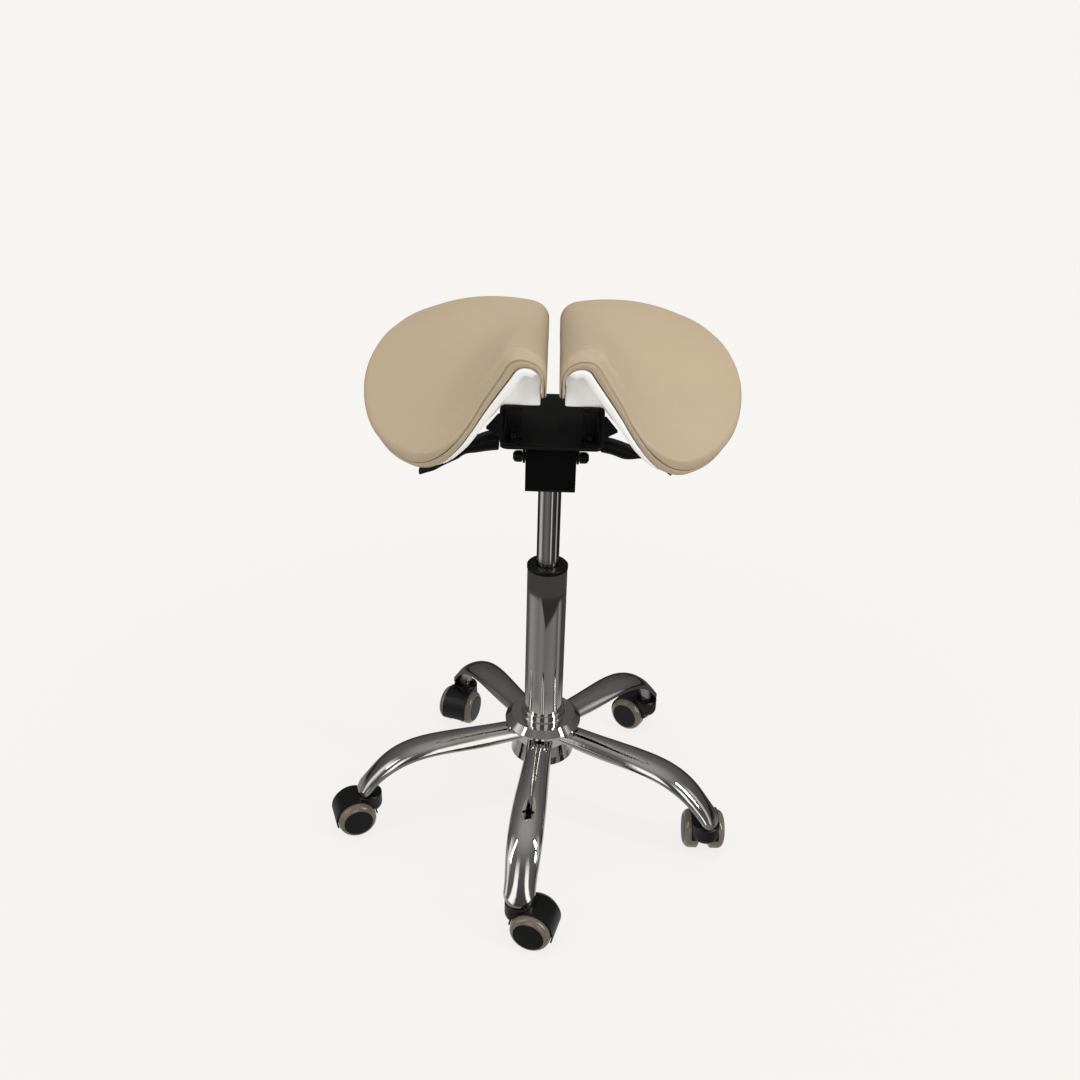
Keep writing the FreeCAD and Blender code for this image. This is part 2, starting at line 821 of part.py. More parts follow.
# Levers: a steel rod through the housing wall and a flat drooping grip, on each side
def gripForm(y):
    """A loft through ovals from the rod outwards, narrowing in height and drooping."""
    root, tip, drop = S.gripRoot.value, S.gripTip.value, S.gripDrop.value
    high, low, wide = S.gripRootHeight.value, S.gripTipHeight.value, S.gripWidth.value
    top = leverHeight.value
    # share of the length, of the droop, of the height lost, and of the width
    shares = [
        (0.00, 0.00, 0.00, 0.72),
        (0.16, 0.07, 0.10, 0.80),
        (0.41, 0.31, 0.42, 0.95),
        (0.68, 0.64, 0.74, 1.00),
        (0.91, 0.93, 0.86, 0.97),
        (1.00, 1.00, 1.00, 0.78),
    ]
    wires = []
    for along, fallen, thinned, spread in shares:
        x = root + along * (tip - root)
        z = top - fallen * drop
        height = high - thinned * (high - low)
        width = wide * spread
        points = []
        for step in range(4):
            for angle in (90.0 * step, 90.0 * step + 45.0):
                angle = math.radians(angle)
                points.append(Vector(x, y + width / 2.0 * math.cos(angle), z + height / 2.0 * math.sin(angle)))
        points.append(points[0])
        edges = [Part.Arc(*points[step:step + 3]).toShape() for step in (0, 2, 4, 6)]
        wires.append(Part.Wire(edges))
    return Part.makeLoft(wires, True, False)


def addLevers():
    inner = -S.leverInner
    rod = turned([
        (0, inner),
        (S.leverRadius - 0.8, inner),
        (S.leverRadius, inner + 0.8),
        (S.leverRadius, S.leverEnd - 0.8),
        (S.leverRadius - 0.8, S.leverEnd),
        (0, S.leverEnd),
    ], (0, 0, leverHeight), alongX)
    pinHalf = S.lugInside + S.lugThickness + 0.5
    crossPin = cylinder(S.fulcrumRadius, pinHalf * 2, (S.fulcrumAcross, pinHalf, leverHeight), againstY)
    node("height_lever", fuse(rod, crossPin))
    blank = cylinder(S.leverRadius, S.leverEnd - S.gripRoot + 5, (S.gripRoot - 5, 0, leverHeight), alongX)
    node("height_grip", cut(form(gripForm(0.0)), blank))
    collarFoot = S.strapInside - 0.3
    collar = S.leverRadius + 3
    clamp = turned([
        (0, 8),
        (S.leverRadius - 0.8, 8),
        (S.leverRadius, 8.8),
        (S.leverRadius, collarFoot - 4.2),
        (collar, collarFoot - 4.2),
        (collar, collarFoot),
        (S.leverRadius, collarFoot),
        (S.leverRadius, S.leverEnd - 0.8),
        (S.leverRadius - 0.8, S.leverEnd),
        (0, S.leverEnd),
    ], (0, S.tiltLeverBack, leverHeight), againstX)
    node("tilt_lever", clamp)
    blank = cylinder(
        S.leverRadius, S.leverEnd - S.gripRoot + 5, (S.gripRoot - 5, S.tiltLeverBack, leverHeight), alongX)
    node("tilt_grip", mirrored(cut(form(gripForm(S.tiltLeverBack.value)), blank)))


# Seat carrier: tilting plate with its two ears and the strap that the left lever clamps
def addPlate():
    corner = S.plateCorner
    side, front, rear = S.plateHalfWidth, S.plateFront, S.plateRear
    plate = padded("XY_Plane", [
        (-side, front + corner, corner),
        (-side + corner, front),
        (side - corner, front, corner),
        (side, front + corner),
        (side, rear - corner, corner),
        (side - corner, rear),
        (-side + corner, rear, corner),
        (-side, rear - corner),
    ], S.plateThickness, (0, 0, plateFoot))
    pivotY = -S.pivotForward
    half = S.earHalfWidth
    ears = []
    for x in (S.housingHalfWidth + S.earGap, -S.housingHalfWidth - S.earGap - S.earThickness):
        ears.append(padded("YZ_Plane", [
            (pivotY - half, pivotHeight, half),
            (pivotY, pivotHeight - half, half),
            (pivotY + half, pivotHeight),
            (pivotY + half + 5, plateFoot + 1),
            (pivotY - half - 5, plateFoot + 1),
        ], S.earThickness, (x, 0, 0)))
    strapX = -S.strapInside - S.strapThickness
    reach = S.pivotForward + S.tiltLeverBack
    strap = padded("YZ_Plane", [
        (S.tiltLeverBack - 11, leverHeight - 17, 4),
        (S.tiltLeverBack - 7, leverHeight - 21),
        (S.tiltLeverBack + 8, leverHeight - 21, 4),
        (S.tiltLeverBack + 12, leverHeight - 17),
        (S.tiltLeverBack + 15, plateFoot + 1),
        (S.tiltLeverBack - 15, plateFoot + 1),
    ], S.strapThickness, (strapX, 0, 0))
    rise = leverHeight.value - pivotHeight.value
    radius = math.hypot(reach.value, rise)
    rest = math.degrees(math.atan2(rise, reach.value))
    width = S.leverRadius.value + S.strapSlotGap.value
    thickness = S.strapThickness.value + 2.0
    low, high = rest - S.tiltUp.value, rest + S.tiltDown.value
    middle = Vector(strapX.value - 1.0, pivotY.value, pivotHeight.value)
    sector = []
    for outer in (radius + width, radius - width):
        block = Part.makeCylinder(outer, thickness, Vector(), Vector(0, 0, 1), high - low)
        block.Placement = Placement(middle, alongX * Rotation(Vector(0, 0, 1), 90.0 + low))
        sector.append(block)
    slot = sector[0].cut(sector[1])
    for angle in (low, high):
        way = Vector(0, math.cos(math.radians(angle)), math.sin(math.radians(angle)))
        slot = slot.fuse(Part.makeCylinder(width, thickness, middle + way * radius, Vector(1, 0, 0)))
    tools = [form(slot)]
    for x in (S.boltX, -S.boltX):
        for y in (S.boltFront, S.boltRear):
            tools.append(roundedSlot(S.slotLength, S.boltRadius + 0.3, S.plateThickness + 2, (x, y, plateFoot - 1)))
    hole = S.housingHalfWidth + S.earThickness + 3
    tools.append(cylinder(S.pivotRadius + 0.06, hole * 2, (-hole, pivotY, pivotHeight), alongX))
    node("seat_plate", cut(fuse(plate, ears[0], ears[1], strap), *tools))


# Brackets: folded channels between the plate and the keels, each with a tab in front
def addBrackets():
    sheetMetal, bend, leg = S.bracketSheet, S.bracketBend, S.bracketLeg
    side = S.plateHalfWidth
    inner = bend - sheetMetal
    baseLeg = side - S.boltX + S.boltHead + 1
    profile = [
        (side - baseLeg, plateTop),
        (side - bend, plateTop, bend),
        (side, plateTop + bend),
        (side, keelFoot - bend, bend),
        (side - bend, keelFoot),
        (side - leg, keelFoot),
        (side - leg, keelFoot - sheetMetal),
        (side - bend, keelFoot - sheetMetal, -inner),
        (side - sheetMetal, keelFoot - bend),
        (side - sheetMetal, plateTop + bend, -inner),
        (side - bend, plateTop + sheetMetal),
        (side - baseLeg, plateTop + sheetMetal),
    ]
    run = S.bracketRear - S.bracketFront
    rail = padded("XZ_Plane", profile, run, (0, S.bracketRear, 0))
    tab = padded("XZ_Plane", [
        (side - 0.5, plateTop + bend),
        (side + 6, plateTop + bend + 9),
        (side + 15, plateTop + bend + 14, 3),
        (side + 13.5, plateTop + bend + 17.5),
        (side + 2, keelFoot - bend - 4.5),
        (side - 0.5, keelFoot - bend - 4.5),
    ], sheetMetal, (0, S.bracketFront + sheetMetal, 0))
    tools = []
    for y in (S.boltFront, S.boltRear):
        tools.append(cylinder(S.boltRadius + 0.05, sheetMetal + 2, (S.boltX, y, plateTop - 1)))
        tools.append(cylinder(S.screwRadius + 0.05, sheetMetal + 2, (screwX(), y, keelFoot - sheetMetal - 1)))
    for x, z in tabScrewSpots():
        tools.append(cylinder(S.tabScrew, sheetMetal + 2, (x, S.bracketFront + sheetMetal + 1, z), againstY))
    right = cut(fuse(rail, tab), *tools)
    node("seat_brackets", group([right, mirrored(right)]))


def screwX():
    return S.plateHalfWidth - S.bracketLeg * 0.5


def tabScrewSpots():
    x = S.plateHalfWidth + 7.5
    z = plateTop + S.bracketBend + 14
    return [(x, z), (x - 2, z + 7)]


def addFasteners():
    head, thread = S.boltHead, S.boltRadius
    top = plateTop + S.bracketSheet
    foot = plateFoot - 4
    bolts = []
    screws = []
    for y in (S.boltFront, S.boltRear):
        bolts.append(turned([
            (0, foot - 1.5),
            (thread, foot - 1.5),
            (thread, foot),
            (head - 0.3, foot),
            (head - 0.3, plateFoot),
            (thread, plateFoot),
            (thread, top),
            (head, top),
            (head - 0.6, top + 5),
            (2.4, top + 5),
            (2.4, top + 2.5),
            (0, top + 2.5),
        ], (S.boltX, y, 0)))
        under = keelFoot - S.bracketSheet
        screws.append(turned([
            (0, under - 3),
            (S.screwRadius + 1.8, under - 3),
            (S.screwRadius + 2.2, under),
            (S.screwRadius, under),
            (S.screwRadius, keelFoot + 11),
            (0, keelFoot + 11),
        ], (screwX(), y, 0)))
    for x, z in tabScrewSpots():
        screws.append(turned([
            (0, -S.bracketSheet - 2),
            (S.tabScrew, -S.bracketSheet - 2),
            (S.tabScrew, 0),
            (S.tabScrew + 1.5, 0),
            (S.tabScrew + 1.2, 1.8),
            (0, 1.8),
        ], (x, S.bracketFront, z), againstY))
    node("plate_bolts", group(bolts + [mirrored(bolt) for bolt in bolts]))
    node("shell_screws", group(screws + [mirrored(screw) for screw in screws]))


# Seat halves: a leather-covered cushion over a moulded shell that turns down beside the slot
def seatStations():
    """Depth, arch top, arch radius, first and last slope of the flank, half width and padding."""
    # share of the length, rise of the arch, its radius, two slopes, share of the width and of the padding
    rows = [
        (0.000, 11.0, 0.80, 60.0, 46.0, 0.484, 0.52),
        (0.060, 11.0, 0.80, 58.0, 40.0, 0.630, 0.67),
        (0.169, 8.0, 0.90, 49.0, 38.0, 0.785, 0.82),
        (0.309, 3.0, 1.00, 33.0, 37.0, 0.922, 0.93),
        (0.490, 0.0, 1.00, 15.0, 34.0, 1.000, 1.00),
        (0.671, 1.0, 1.00, 5.0, 29.0, 0.995, 1.00),
        (0.831, 5.0, 0.90, 1.0, 24.0, 0.913, 0.93),
        (0.940, 7.0, 0.80, -1.0, 20.0, 0.767, 0.82),
        (1.000, 7.0, 0.70, -2.0, 13.0, 0.557, 0.52),
    ]
    front, rear = S.seatFront.value, S.seatRear.value
    top = keelFoot.value + S.archRise.value
    stations = []
    for along, rise, tight, first, last, spread, plump in rows:
        stations.append({
            "y": front + along * (rear - front),
            "top": top + rise,
            "radius": tight * S.archRadius.value,
            "first": math.radians(first),
            "last": math.radians(last),
            "width": spread * S.seatHalfWidth.value,
            "padding": plump * S.padding.value,
        })
    return stations


class Flank:
    """The underside of the cushion in one upright plane: a wall, an arch and a long flank.

    A point at slope a lies at centre + (radius - depth) * (sin a, cos a), first on the arch's
    centre from -90 degrees to the first slope, then on the flank's centre to the last slope.
    """

    def __init__(self, station):
        self.y = station["y"]
        self.first, self.last = station["first"], station["last"]
        self.radius = station["radius"]
        self.wall = S.slotHalfWidth.value + S.coverLeg.value
        self.arch = (self.wall + self.radius, station["top"] - self.radius)
        start = self.onArch(self.first, 0.0)
        self.bend = (station["width"] - start.x) / (math.sin(self.last) - math.sin(self.first))
        self.middle = (start.x - self.bend * math.sin(self.first), start.z - self.bend * math.cos(self.first))
        self.length = self.bend * (self.last - self.first)

    def onArch(self, slope, depth):
        reach = self.radius - depth
        return Vector(self.arch[0] + reach * math.sin(slope), self.y, self.arch[1] + reach * math.cos(slope))

    def onFlank(self, slope, depth):
        reach = self.bend - depth
        return Vector(self.middle[0] + reach * math.sin(slope), self.y, self.middle[1] + reach * math.cos(slope))

    def slopeBack(self, distance):
        """The slope of the flank at a distance back from its end."""
        return self.last - (self.last - self.first) * distance / self.length

    def chain(self, depth, foot, back=0.0):
        """The wall, arch and flank at one depth, from the foot to the end, as three edges."""
        last = self.slopeBack(back)
        middle = (self.first + last) / 2.0
        corner = (self.first - math.pi / 2.0) / 2.0
        low = Vector(self.wall + depth, self.y, foot)
        high = self.onArch(-math.pi / 2.0, depth)
        start = self.onFlank(self.first, depth)
        end = self.onFlank(last, depth)
        return [
            Part.LineSegment(low, high).toShape(),
            Part.Arc(high, self.onArch(corner, depth), start).toShape(),
            Part.Arc(start, self.onFlank(middle, depth), end).toShape(),
        ], low, end


def cushionForm():
    foot = keelFoot.value + S.coverRise.value
    outside = S.slotHalfWidth.value
    wires = []
    for station in seatStations():
        flank = Flank(station)
        padding = station["padding"]
        edges, low, hem = flank.chain(0.0, foot)
        curl = min(S.hemRound.value, 0.75 * padding)
        last = flank.slopeBack(curl)
        hip = flank.onFlank(flank.slopeBack(0.29 * curl), -0.71 * padding)
        top = flank.onFlank(last, -padding)
        crest = flank.onFlank((flank.first + last) / 2.0, -padding)
        start = flank.onFlank(flank.first, -padding)
        # the outer corner is an arc that leaves the wall upright and meets the top at the first slope
        radius = (start.x - outside) / (1.0 + math.sin(flank.first))
        centre = (outside + radius, start.z - radius * math.cos(flank.first))
        slope = (flank.first - math.pi / 2.0) / 2.0
        shoulder = Vector(centre[0] + radius * math.sin(slope), flank.y, centre[1] + radius * math.cos(slope))
        high = Vector(outside, flank.y, centre[1])
        heel = Vector(outside, flank.y, foot)
        edges += [
            Part.Arc(hem, hip, top).toShape(),
            Part.Arc(top, crest, start).toShape(),
            Part.Arc(start, shoulder, high).toShape(),
            Part.LineSegment(high, heel).toShape(),
            Part.LineSegment(heel, low).toShape(),
        ]
        wires.append(Part.Wire(edges))
    return Part.makeLoft(wires, True, False)


def shellForm():
    """The moulded shell, and the room below its middle that the keel fills."""
    foot = keelFoot.value
    stations = seatStations()
    stations[0]["y"] -= S.shellProud.value
    stations[-1]["y"] -= S.shellProud.value
    gap = S.softGap.value
    # the front of the shell is thicker, as its glossy rim shows below the leather
    shares = [1.0, 1.0, 0.4] + [0.0] * (len(stations) - 3)
    skins = []
    rooms = []
    for station, share in zip(stations, shares):
        flank = Flank(station)
        thickness = S.shellBack.value + share * (S.shellFront.value - S.shellBack.value)
        outer, low, end = flank.chain(gap, foot, S.shellInset.value)
        inner, inLow, inEnd = flank.chain(gap + thickness, foot, S.shellInset.value)
        edges = outer + [Part.LineSegment(end, inEnd).toShape()] + inner[::-1]
        edges.append(Part.LineSegment(inLow, low).toShape())
        skins.append(Part.Wire(Part.__sortEdges__(edges)))
        edges, low, end = flank.chain(gap + thickness * 0.5, foot - 10.0, S.shellInset.value)
        corners = [end, Vector(end.x, end.y, foot - 150.0), Vector(low.x, low.y, foot - 150.0), low]
        for first, last in zip(corners[:-1], corners[1:]):
            edges.append(Part.LineSegment(first, last).toShape())
        rooms.append(Part.Wire(edges))
    return Part.makeLoft(skins, True, False), Part.makeLoft(rooms, True, False)


def addSeatHalves():
    cushion = form(cushionForm())
    node("cushion_right", cushion)
    node("cushion_left", mirrored(cushion))
    skin, room = shellForm()
    inside = S.slotHalfWidth + S.coverLeg + S.softGap
    length = S.keelRear - S.keelFront
    block = box(S.keelWidth, length, S.archRise + 30, (inside + 1, S.keelFront, keelFoot))
    keel = common(block, form(room))
    springing = S.archRise - S.archRadius + 10
    setBack = box(S.shellFront + 4, 40, springing + 1, (inside - 1, S.keelFront - 40, keelFoot - 1))
    shell = fuse(cut(form(skin), setBack), keel)
    wall = S.keelWall
    tools = []
    pockets = [(S.boltFront + 9, S.boltRear - 9), (S.boltRear + 9, S.keelRear - wall)]
    for front, rear in pockets:
        start = (inside + 1 + wall, front, keelFoot - 1)
        tools.append(box(S.keelWidth - wall * 2, rear - front, S.keelPocket + 1, start))
    for y in (S.boltFront, S.boltRear):
        tools.append(cylinder(S.screwRadius + 0.02, 14, (screwX(), y, keelFoot - 1)))
    right = cut(shell, *tools)
    node("shell_right", right)
    node("shell_left", mirrored(right))


# Castors: hooded twin wheels that trail behind their stems
def addCastor(index, name):
    stemX, stemY = onCircle(stemCircle, armAngle(index))
    heading = trailAngles[index]
    trail = Rotation(Vector(0, 0, 1), heading)
    sideways = trail * againstY
    stem = (stemX, stemY, 0)

    def spot(back, side, height):
        # along the trail by back, and to its left by side
        backX, backY = onCircle(back, heading)
        sideX, sideY = onCircle(side, heading + 90.0)
        return (stemX + backX + sideX, stemY + backY + sideY, height)

    room = S.wheelRadius + S.hoodGap
    shellRadius = room + S.hoodWall
    width = S.hoodHalfWidth * 2
    bossTop = S.armRimHeight - S.bossGap
    drum = cylinder(shellRadius, width, spot(S.castorTrail, S.hoodHalfWidth, S.wheelRadius), sideways)
    rounding = S.bossRound
    boss = turned([
        (0, S.bossFoot),
        (S.hoodHalfWidth - rounding, S.bossFoot, rounding),
        (S.hoodHalfWidth, S.bossFoot + rounding),
        (S.hoodHalfWidth, bossTop - 1.5),
        (S.hoodHalfWidth - 1.5, bossTop),
        (0, bossTop),
    ], stem)
    web = S.hoodWeb * 0.5
    deep = S.hoodHalfWidth + 1 - web
    left = cylinder(room, deep, spot(S.castorTrail, S.hoodHalfWidth + 1, S.wheelRadius), sideways)
    right = cylinder(room, deep, spot(S.castorTrail, -web, S.wheelRadius), sideways)
    journal = cylinder(
        S.journalRadius + S.fitClearance, bossTop - S.stemFoot + 1.5, (stemX, stemY, S.stemFoot - 0.5))
    tilt = trail * Rotation(Vector(0, 1, 0), S.hoodSlope.value)
    low = Part.makeBox(200.0, 80.0, 60.0, Vector(-100.0, -40.0, -60.0))
    trim = form(low, spot(S.castorTrail, size(0), S.wheelRadius - S.hoodTrim), tilt)
    axleHole = cylinder(S.axleRadius, width, spot(S.castorTrail, S.hoodHalfWidth, S.wheelRadius), sideways)
    hood = cut(fuse(cut(drum, trim), boss), left, right, journal, axleHole)
    axle = cylinder(
        S.axleRadius, S.axleHalfLength * 2, spot(S.castorTrail, S.axleHalfLength, S.wheelRadius), sideways)
    node("hood_" + name, group([hood, axle]))

    half = S.wheelWidth * 0.5
    rim = S.rimRadius
    bore = S.axleRadius + S.slideClearance
    blind = S.axleHalfLength - S.wheelOffset + 0.2
    for mark, way in (("a", 1.0), ("b", -1.0)):
        facing = trail * Rotation(Vector(0, 0, 1), Vector(0, way, 0))
        centre = spot(S.castorTrail, S.wheelOffset * way, S.wheelRadius)
        node("tyre_%s_%s" % (name, mark), turned([
            (rim, -half),
            (S.wheelRadius - 2, -half),
            (S.wheelRadius, -half + 2),
            (S.wheelRadius, half - 8, 8.4),
            (rim, half - 0.4),
        ], centre, facing))
        node("hub_%s_%s" % (name, mark), turned([
            (0, blind),
            (bore, blind),
            (bore, -half),
            (S.axleRadius + 3, -half),
            (S.axleRadius + 3, blind + 0.4),
            (rim - 2.2, blind + 0.4),
            (rim - 2.2, -half),
            (rim, -half),
            (rim, half - 1),
            (rim - 1.4, half),
            (0, half),
        ], centre, facing))


addHub()
addArms()
addColumn()
addGasSpring()
addHousing()
addPivot()
addTiltSpring()
addLevers()
addPlate()
addBrackets()
addFasteners()
addSeatHalves()
for index, name in enumerate(armNames):
    addCastor(index, name)
doc.recompute()

# Every object must have built and every form must be sound before anything is written
for thing in doc.Objects:
    if "Invalid" in thing.State or "Error" in thing.State:
        raise RuntimeError("%s did not build" % thing.Label)
for label, thing in nodes.items():
    shape = thing.Shape
    if shape.isNull() or not shape.isValid() or not shape.Solids:
        raise RuntimeError("%s has no sound shape" % label)

os.makedirs("parts", exist_ok=True)
for label, thing in nodes.items():
    thing.Shape.exportStep("parts/%s.step" % label)
print("wrote %d parts" % len(nodes))
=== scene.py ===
import math

import bmesh
import bpy
import numpy as np
from mathutils import Matrix, Vector
from mathutils.bvhtree import BVHTree
from mathutils.kdtree import KDTree


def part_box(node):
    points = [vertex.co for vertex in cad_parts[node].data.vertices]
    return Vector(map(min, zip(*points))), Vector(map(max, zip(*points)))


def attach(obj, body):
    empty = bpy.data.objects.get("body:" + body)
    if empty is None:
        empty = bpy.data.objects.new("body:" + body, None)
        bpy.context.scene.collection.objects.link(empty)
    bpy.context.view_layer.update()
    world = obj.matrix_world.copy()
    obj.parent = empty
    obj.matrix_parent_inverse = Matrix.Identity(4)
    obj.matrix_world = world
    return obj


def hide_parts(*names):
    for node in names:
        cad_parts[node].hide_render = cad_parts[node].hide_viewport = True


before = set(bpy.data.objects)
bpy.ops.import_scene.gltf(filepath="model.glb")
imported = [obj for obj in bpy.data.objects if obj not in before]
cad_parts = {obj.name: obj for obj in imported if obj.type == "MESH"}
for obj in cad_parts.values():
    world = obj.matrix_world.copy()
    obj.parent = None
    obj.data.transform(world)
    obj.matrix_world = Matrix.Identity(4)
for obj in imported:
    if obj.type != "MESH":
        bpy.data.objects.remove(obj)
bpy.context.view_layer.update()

mm = 0.001
print("frame loaded: %d nodes" % len(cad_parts))


# Smooth reading of a few listed stations: a cubic through each pair of them whose slopes are the
# mean slopes of the neighbours
def throughStations(knots, values, at):
    knots, values = np.asarray(knots, float), np.asarray(values, float)
    slopes = np.gradient(values, knots)
    cell = np.clip(np.searchsorted(knots, at, side="right") - 1, 0, len(knots) - 2)
    gap = knots[cell + 1] - knots[cell]
    u = np.clip((at - knots[cell]) / gap, 0.0, 1.0)
    start, end = values[cell], values[cell + 1]
    rise, fall = slopes[cell] * gap, slopes[cell + 1] * gap
    return (
        (2 * u**3 - 3 * u**2 + 1) * start
        + (u**3 - 2 * u**2 + u) * rise
        + (3 * u**2 - 2 * u**3) * end
        + (u**3 - u**2) * fall
    )


# Zero below low, one above high, and a smooth step between
def ease(amount, low, high):
    u = np.clip((amount - low) / (high - low), 0.0, 1.0)
    return u * u * (3.0 - 2.0 * u)


def pointsOf(mesh):
    points = np.zeros(len(mesh.vertices) * 3)
    mesh.vertices.foreach_get("co", points)
    return points.reshape(-1, 3)


# A closed piece from a grid of points, with its poles and doubles merged and its normals outward
def linkMesh(name, points, body, finish):
    mesh = bpy.data.meshes.new(name)
    mesh.from_pydata(points.reshape(-1, 3).tolist(), [], gridFaces(*points.shape[:2]))
    mesh.validate()
    piece = bpy.data.objects.new(name, mesh)
    bpy.context.scene.collection.objects.link(piece)
    sheet = bmesh.new()
    sheet.from_mesh(mesh)
    bmesh.ops.remove_doubles(sheet, verts=sheet.verts, dist=0.002 * mm)
    bmesh.ops.recalc_face_normals(sheet, faces=sheet.faces)
    sheet.to_mesh(mesh)
    sheet.free()
    mesh.polygons.foreach_set("use_smooth", [True] * len(mesh.polygons))
    mesh.materials.append(finish)
    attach(piece, body)
    return piece


# The quads of a grid of rows by columns, each row closed on itself
def gridFaces(rows, columns):
    row = np.arange(rows - 1)[:, None]
    column = np.arange(columns)[None, :]
    following = (column + 1) % columns
    corners = [row * columns + column, row * columns + following]
    corners += [(row + 1) * columns + following, (row + 1) * columns + column]
    return np.stack(np.broadcast_arrays(*corners), -1).reshape(-1, 4).tolist()


# Shared effects, as node groups that give colours, masks, values and heights
def newGroup(name, inputs, outputs):
    group = bpy.data.node_groups.new(name, "ShaderNodeTree")
    for label, kind, value in inputs:
        socket = group.interface.new_socket(name=label, in_out="INPUT", socket_type=kind)
        if value is not None:
            socket.default_value = value
    for label, kind in outputs:
        group.interface.new_socket(name=label, in_out="OUTPUT", socket_type=kind)
    return group, group.nodes.new("NodeGroupInput"), group.nodes.new("NodeGroupOutput")


# A socket takes a plain value or another node's output
def feed(tree, socket, value):
    if isinstance(value, (int, float, tuple)):
        socket.default_value = value
    else:
        tree.links.new(value, socket)


def noise(tree, coordinates, scale, detail):
    node = tree.nodes.new("ShaderNodeTexNoise")
    node.inputs["Detail"].default_value = detail
    node.inputs["Roughness"].default_value = 0.55
    feed(tree, node.inputs["Scale"], scale)
    tree.links.new(coordinates, node.inputs["Vector"])
    return node.outputs["Fac"]


def remap(tree, value, low, high, toLow, toHigh):
    node = tree.nodes.new("ShaderNodeMapRange")
    node.interpolation_type = "SMOOTHSTEP"
    tree.links.new(value, node.inputs["Value"])
    for label, amount in (("From Min", low), ("From Max", high), ("To Min", toLow), ("To Max", toHigh)):
        feed(tree, node.inputs[label], amount)
    return node.outputs["Result"]


def combine(tree, operation, first, second):
    node = tree.nodes.new("ShaderNodeMath")
    node.operation = operation
    for socket, value in zip(node.inputs, (first, second)):
        feed(tree, socket, value)
    return node.outputs[0]


def mixColour(tree, share, first, second):
    node = tree.nodes.new("ShaderNodeMix")
    node.data_type = "RGBA"
    sockets = {"Factor": share, "A": first, "B": second}
    for socket in node.inputs:
        kind = "VALUE" if socket.name == "Factor" else "RGBA"
        if socket.name in sockets and socket.type == kind:
            feed(tree, socket, sockets[socket.name])
    return next(socket for socket in node.outputs if socket.type == "RGBA")


# Moulded or sprayed skin: fine pimples for a bump, and a slow drift of shade and gloss
def makeSkinGroup():
    group, given, result = newGroup(
        "fineSkin",
        [
            ("Vector", "NodeSocketVector", None),
            ("Grain Scale", "NodeSocketFloat", 900.0),
            ("Drift Scale", "NodeSocketFloat", 18.0),
            ("Gloss Low", "NodeSocketFloat", 0.3),
            ("Gloss High", "NodeSocketFloat", 0.4),
            ("Colour", "NodeSocketColor", (0.5, 0.5, 0.5, 1.0)),
            ("Worn Colour", "NodeSocketColor", (0.6, 0.6, 0.6, 1.0)),
            ("Worn Share", "NodeSocketFloat", 0.3),
        ],
        [("Colour", "NodeSocketColor"), ("Roughness", "NodeSocketFloat"), ("Height", "NodeSocketFloat")],
    )
    grain = noise(group, given.outputs["Vector"], given.outputs["Grain Scale"], 2.0)
    drift = noise(group, given.outputs["Vector"], given.outputs["Drift Scale"], 4.0)
    gloss = remap(group, drift, 0.3, 0.7, given.outputs["Gloss Low"], given.outputs["Gloss High"])
    worn = remap(group, drift, 0.35, 0.7, 0.0, 1.0)
    share = combine(group, "MULTIPLY", worn, given.outputs["Worn Share"])
    colour = mixColour(group, share, given.outputs["Colour"], given.outputs["Worn Colour"])
    group.links.new(colour, result.inputs["Colour"])
    group.links.new(gloss, result.inputs["Roughness"])
    group.links.new(grain, result.inputs["Height"])
    return group


# Leather pores: cells of two sizes with soft creases between them, and a mask of painted shade in those
# creases
def makeLeatherGroup():
    group, given, result = newGroup(
        "leatherPores",
        [("Vector", "NodeSocketVector", None), ("Scale", "NodeSocketFloat", 420.0)],
        [("Height", "NodeSocketFloat"), ("Crease Shade", "NodeSocketFloat")],
    )
    heights = []
    for factor in (1.0, 2.3):
        cells = group.nodes.new("ShaderNodeTexVoronoi")
        cells.feature = "DISTANCE_TO_EDGE"
        group.links.new(given.outputs["Vector"], cells.inputs["Vector"])
        group.links.new(combine(group, "MULTIPLY", given.outputs["Scale"], factor), cells.inputs["Scale"])
        heights.append(remap(group, cells.outputs["Distance"], 0.0, 0.22, 0.0, 1.0))
    height = combine(group, "ADD", heights[0], combine(group, "MULTIPLY", heights[1], 0.5))
    group.links.new(height, result.inputs["Height"])
    # the crease mask is painted shade: darkest in the hollows between the cells
    group.links.new(remap(group, heights[0], 0.0, 0.6, 1.0, 0.0), result.inputs["Crease Shade"])
    return group


skinGroup = makeSkinGroup()
leatherGroup = makeLeatherGroup()


# A screen colour of 0 to 255 as a linear one
def linear(red, green, blue):
    def one(level):
        level /= 255.0
        return level / 12.92 if level <= 0.04045 else ((level + 0.055) / 1.055) ** 2.4

    return (one(red), one(green), one(blue), 1.0)


def newMaterial(name):
    material = bpy.data.materials.new(name)
    material.use_nodes = True
    tree = material.node_tree
    shader = tree.nodes["Principled BSDF"]
    coordinates = tree.nodes.new("ShaderNodeTexCoord").outputs["Object"]
    return material, tree, shader, coordinates


def addBump(tree, shader, height, strength, distance):
    bump = tree.nodes.new("ShaderNodeBump")
    bump.inputs["Strength"].default_value = strength
    bump.inputs["Distance"].default_value = distance
    tree.links.new(height, bump.inputs["Height"])
    tree.links.new(bump.outputs["Normal"], shader.inputs["Normal"])


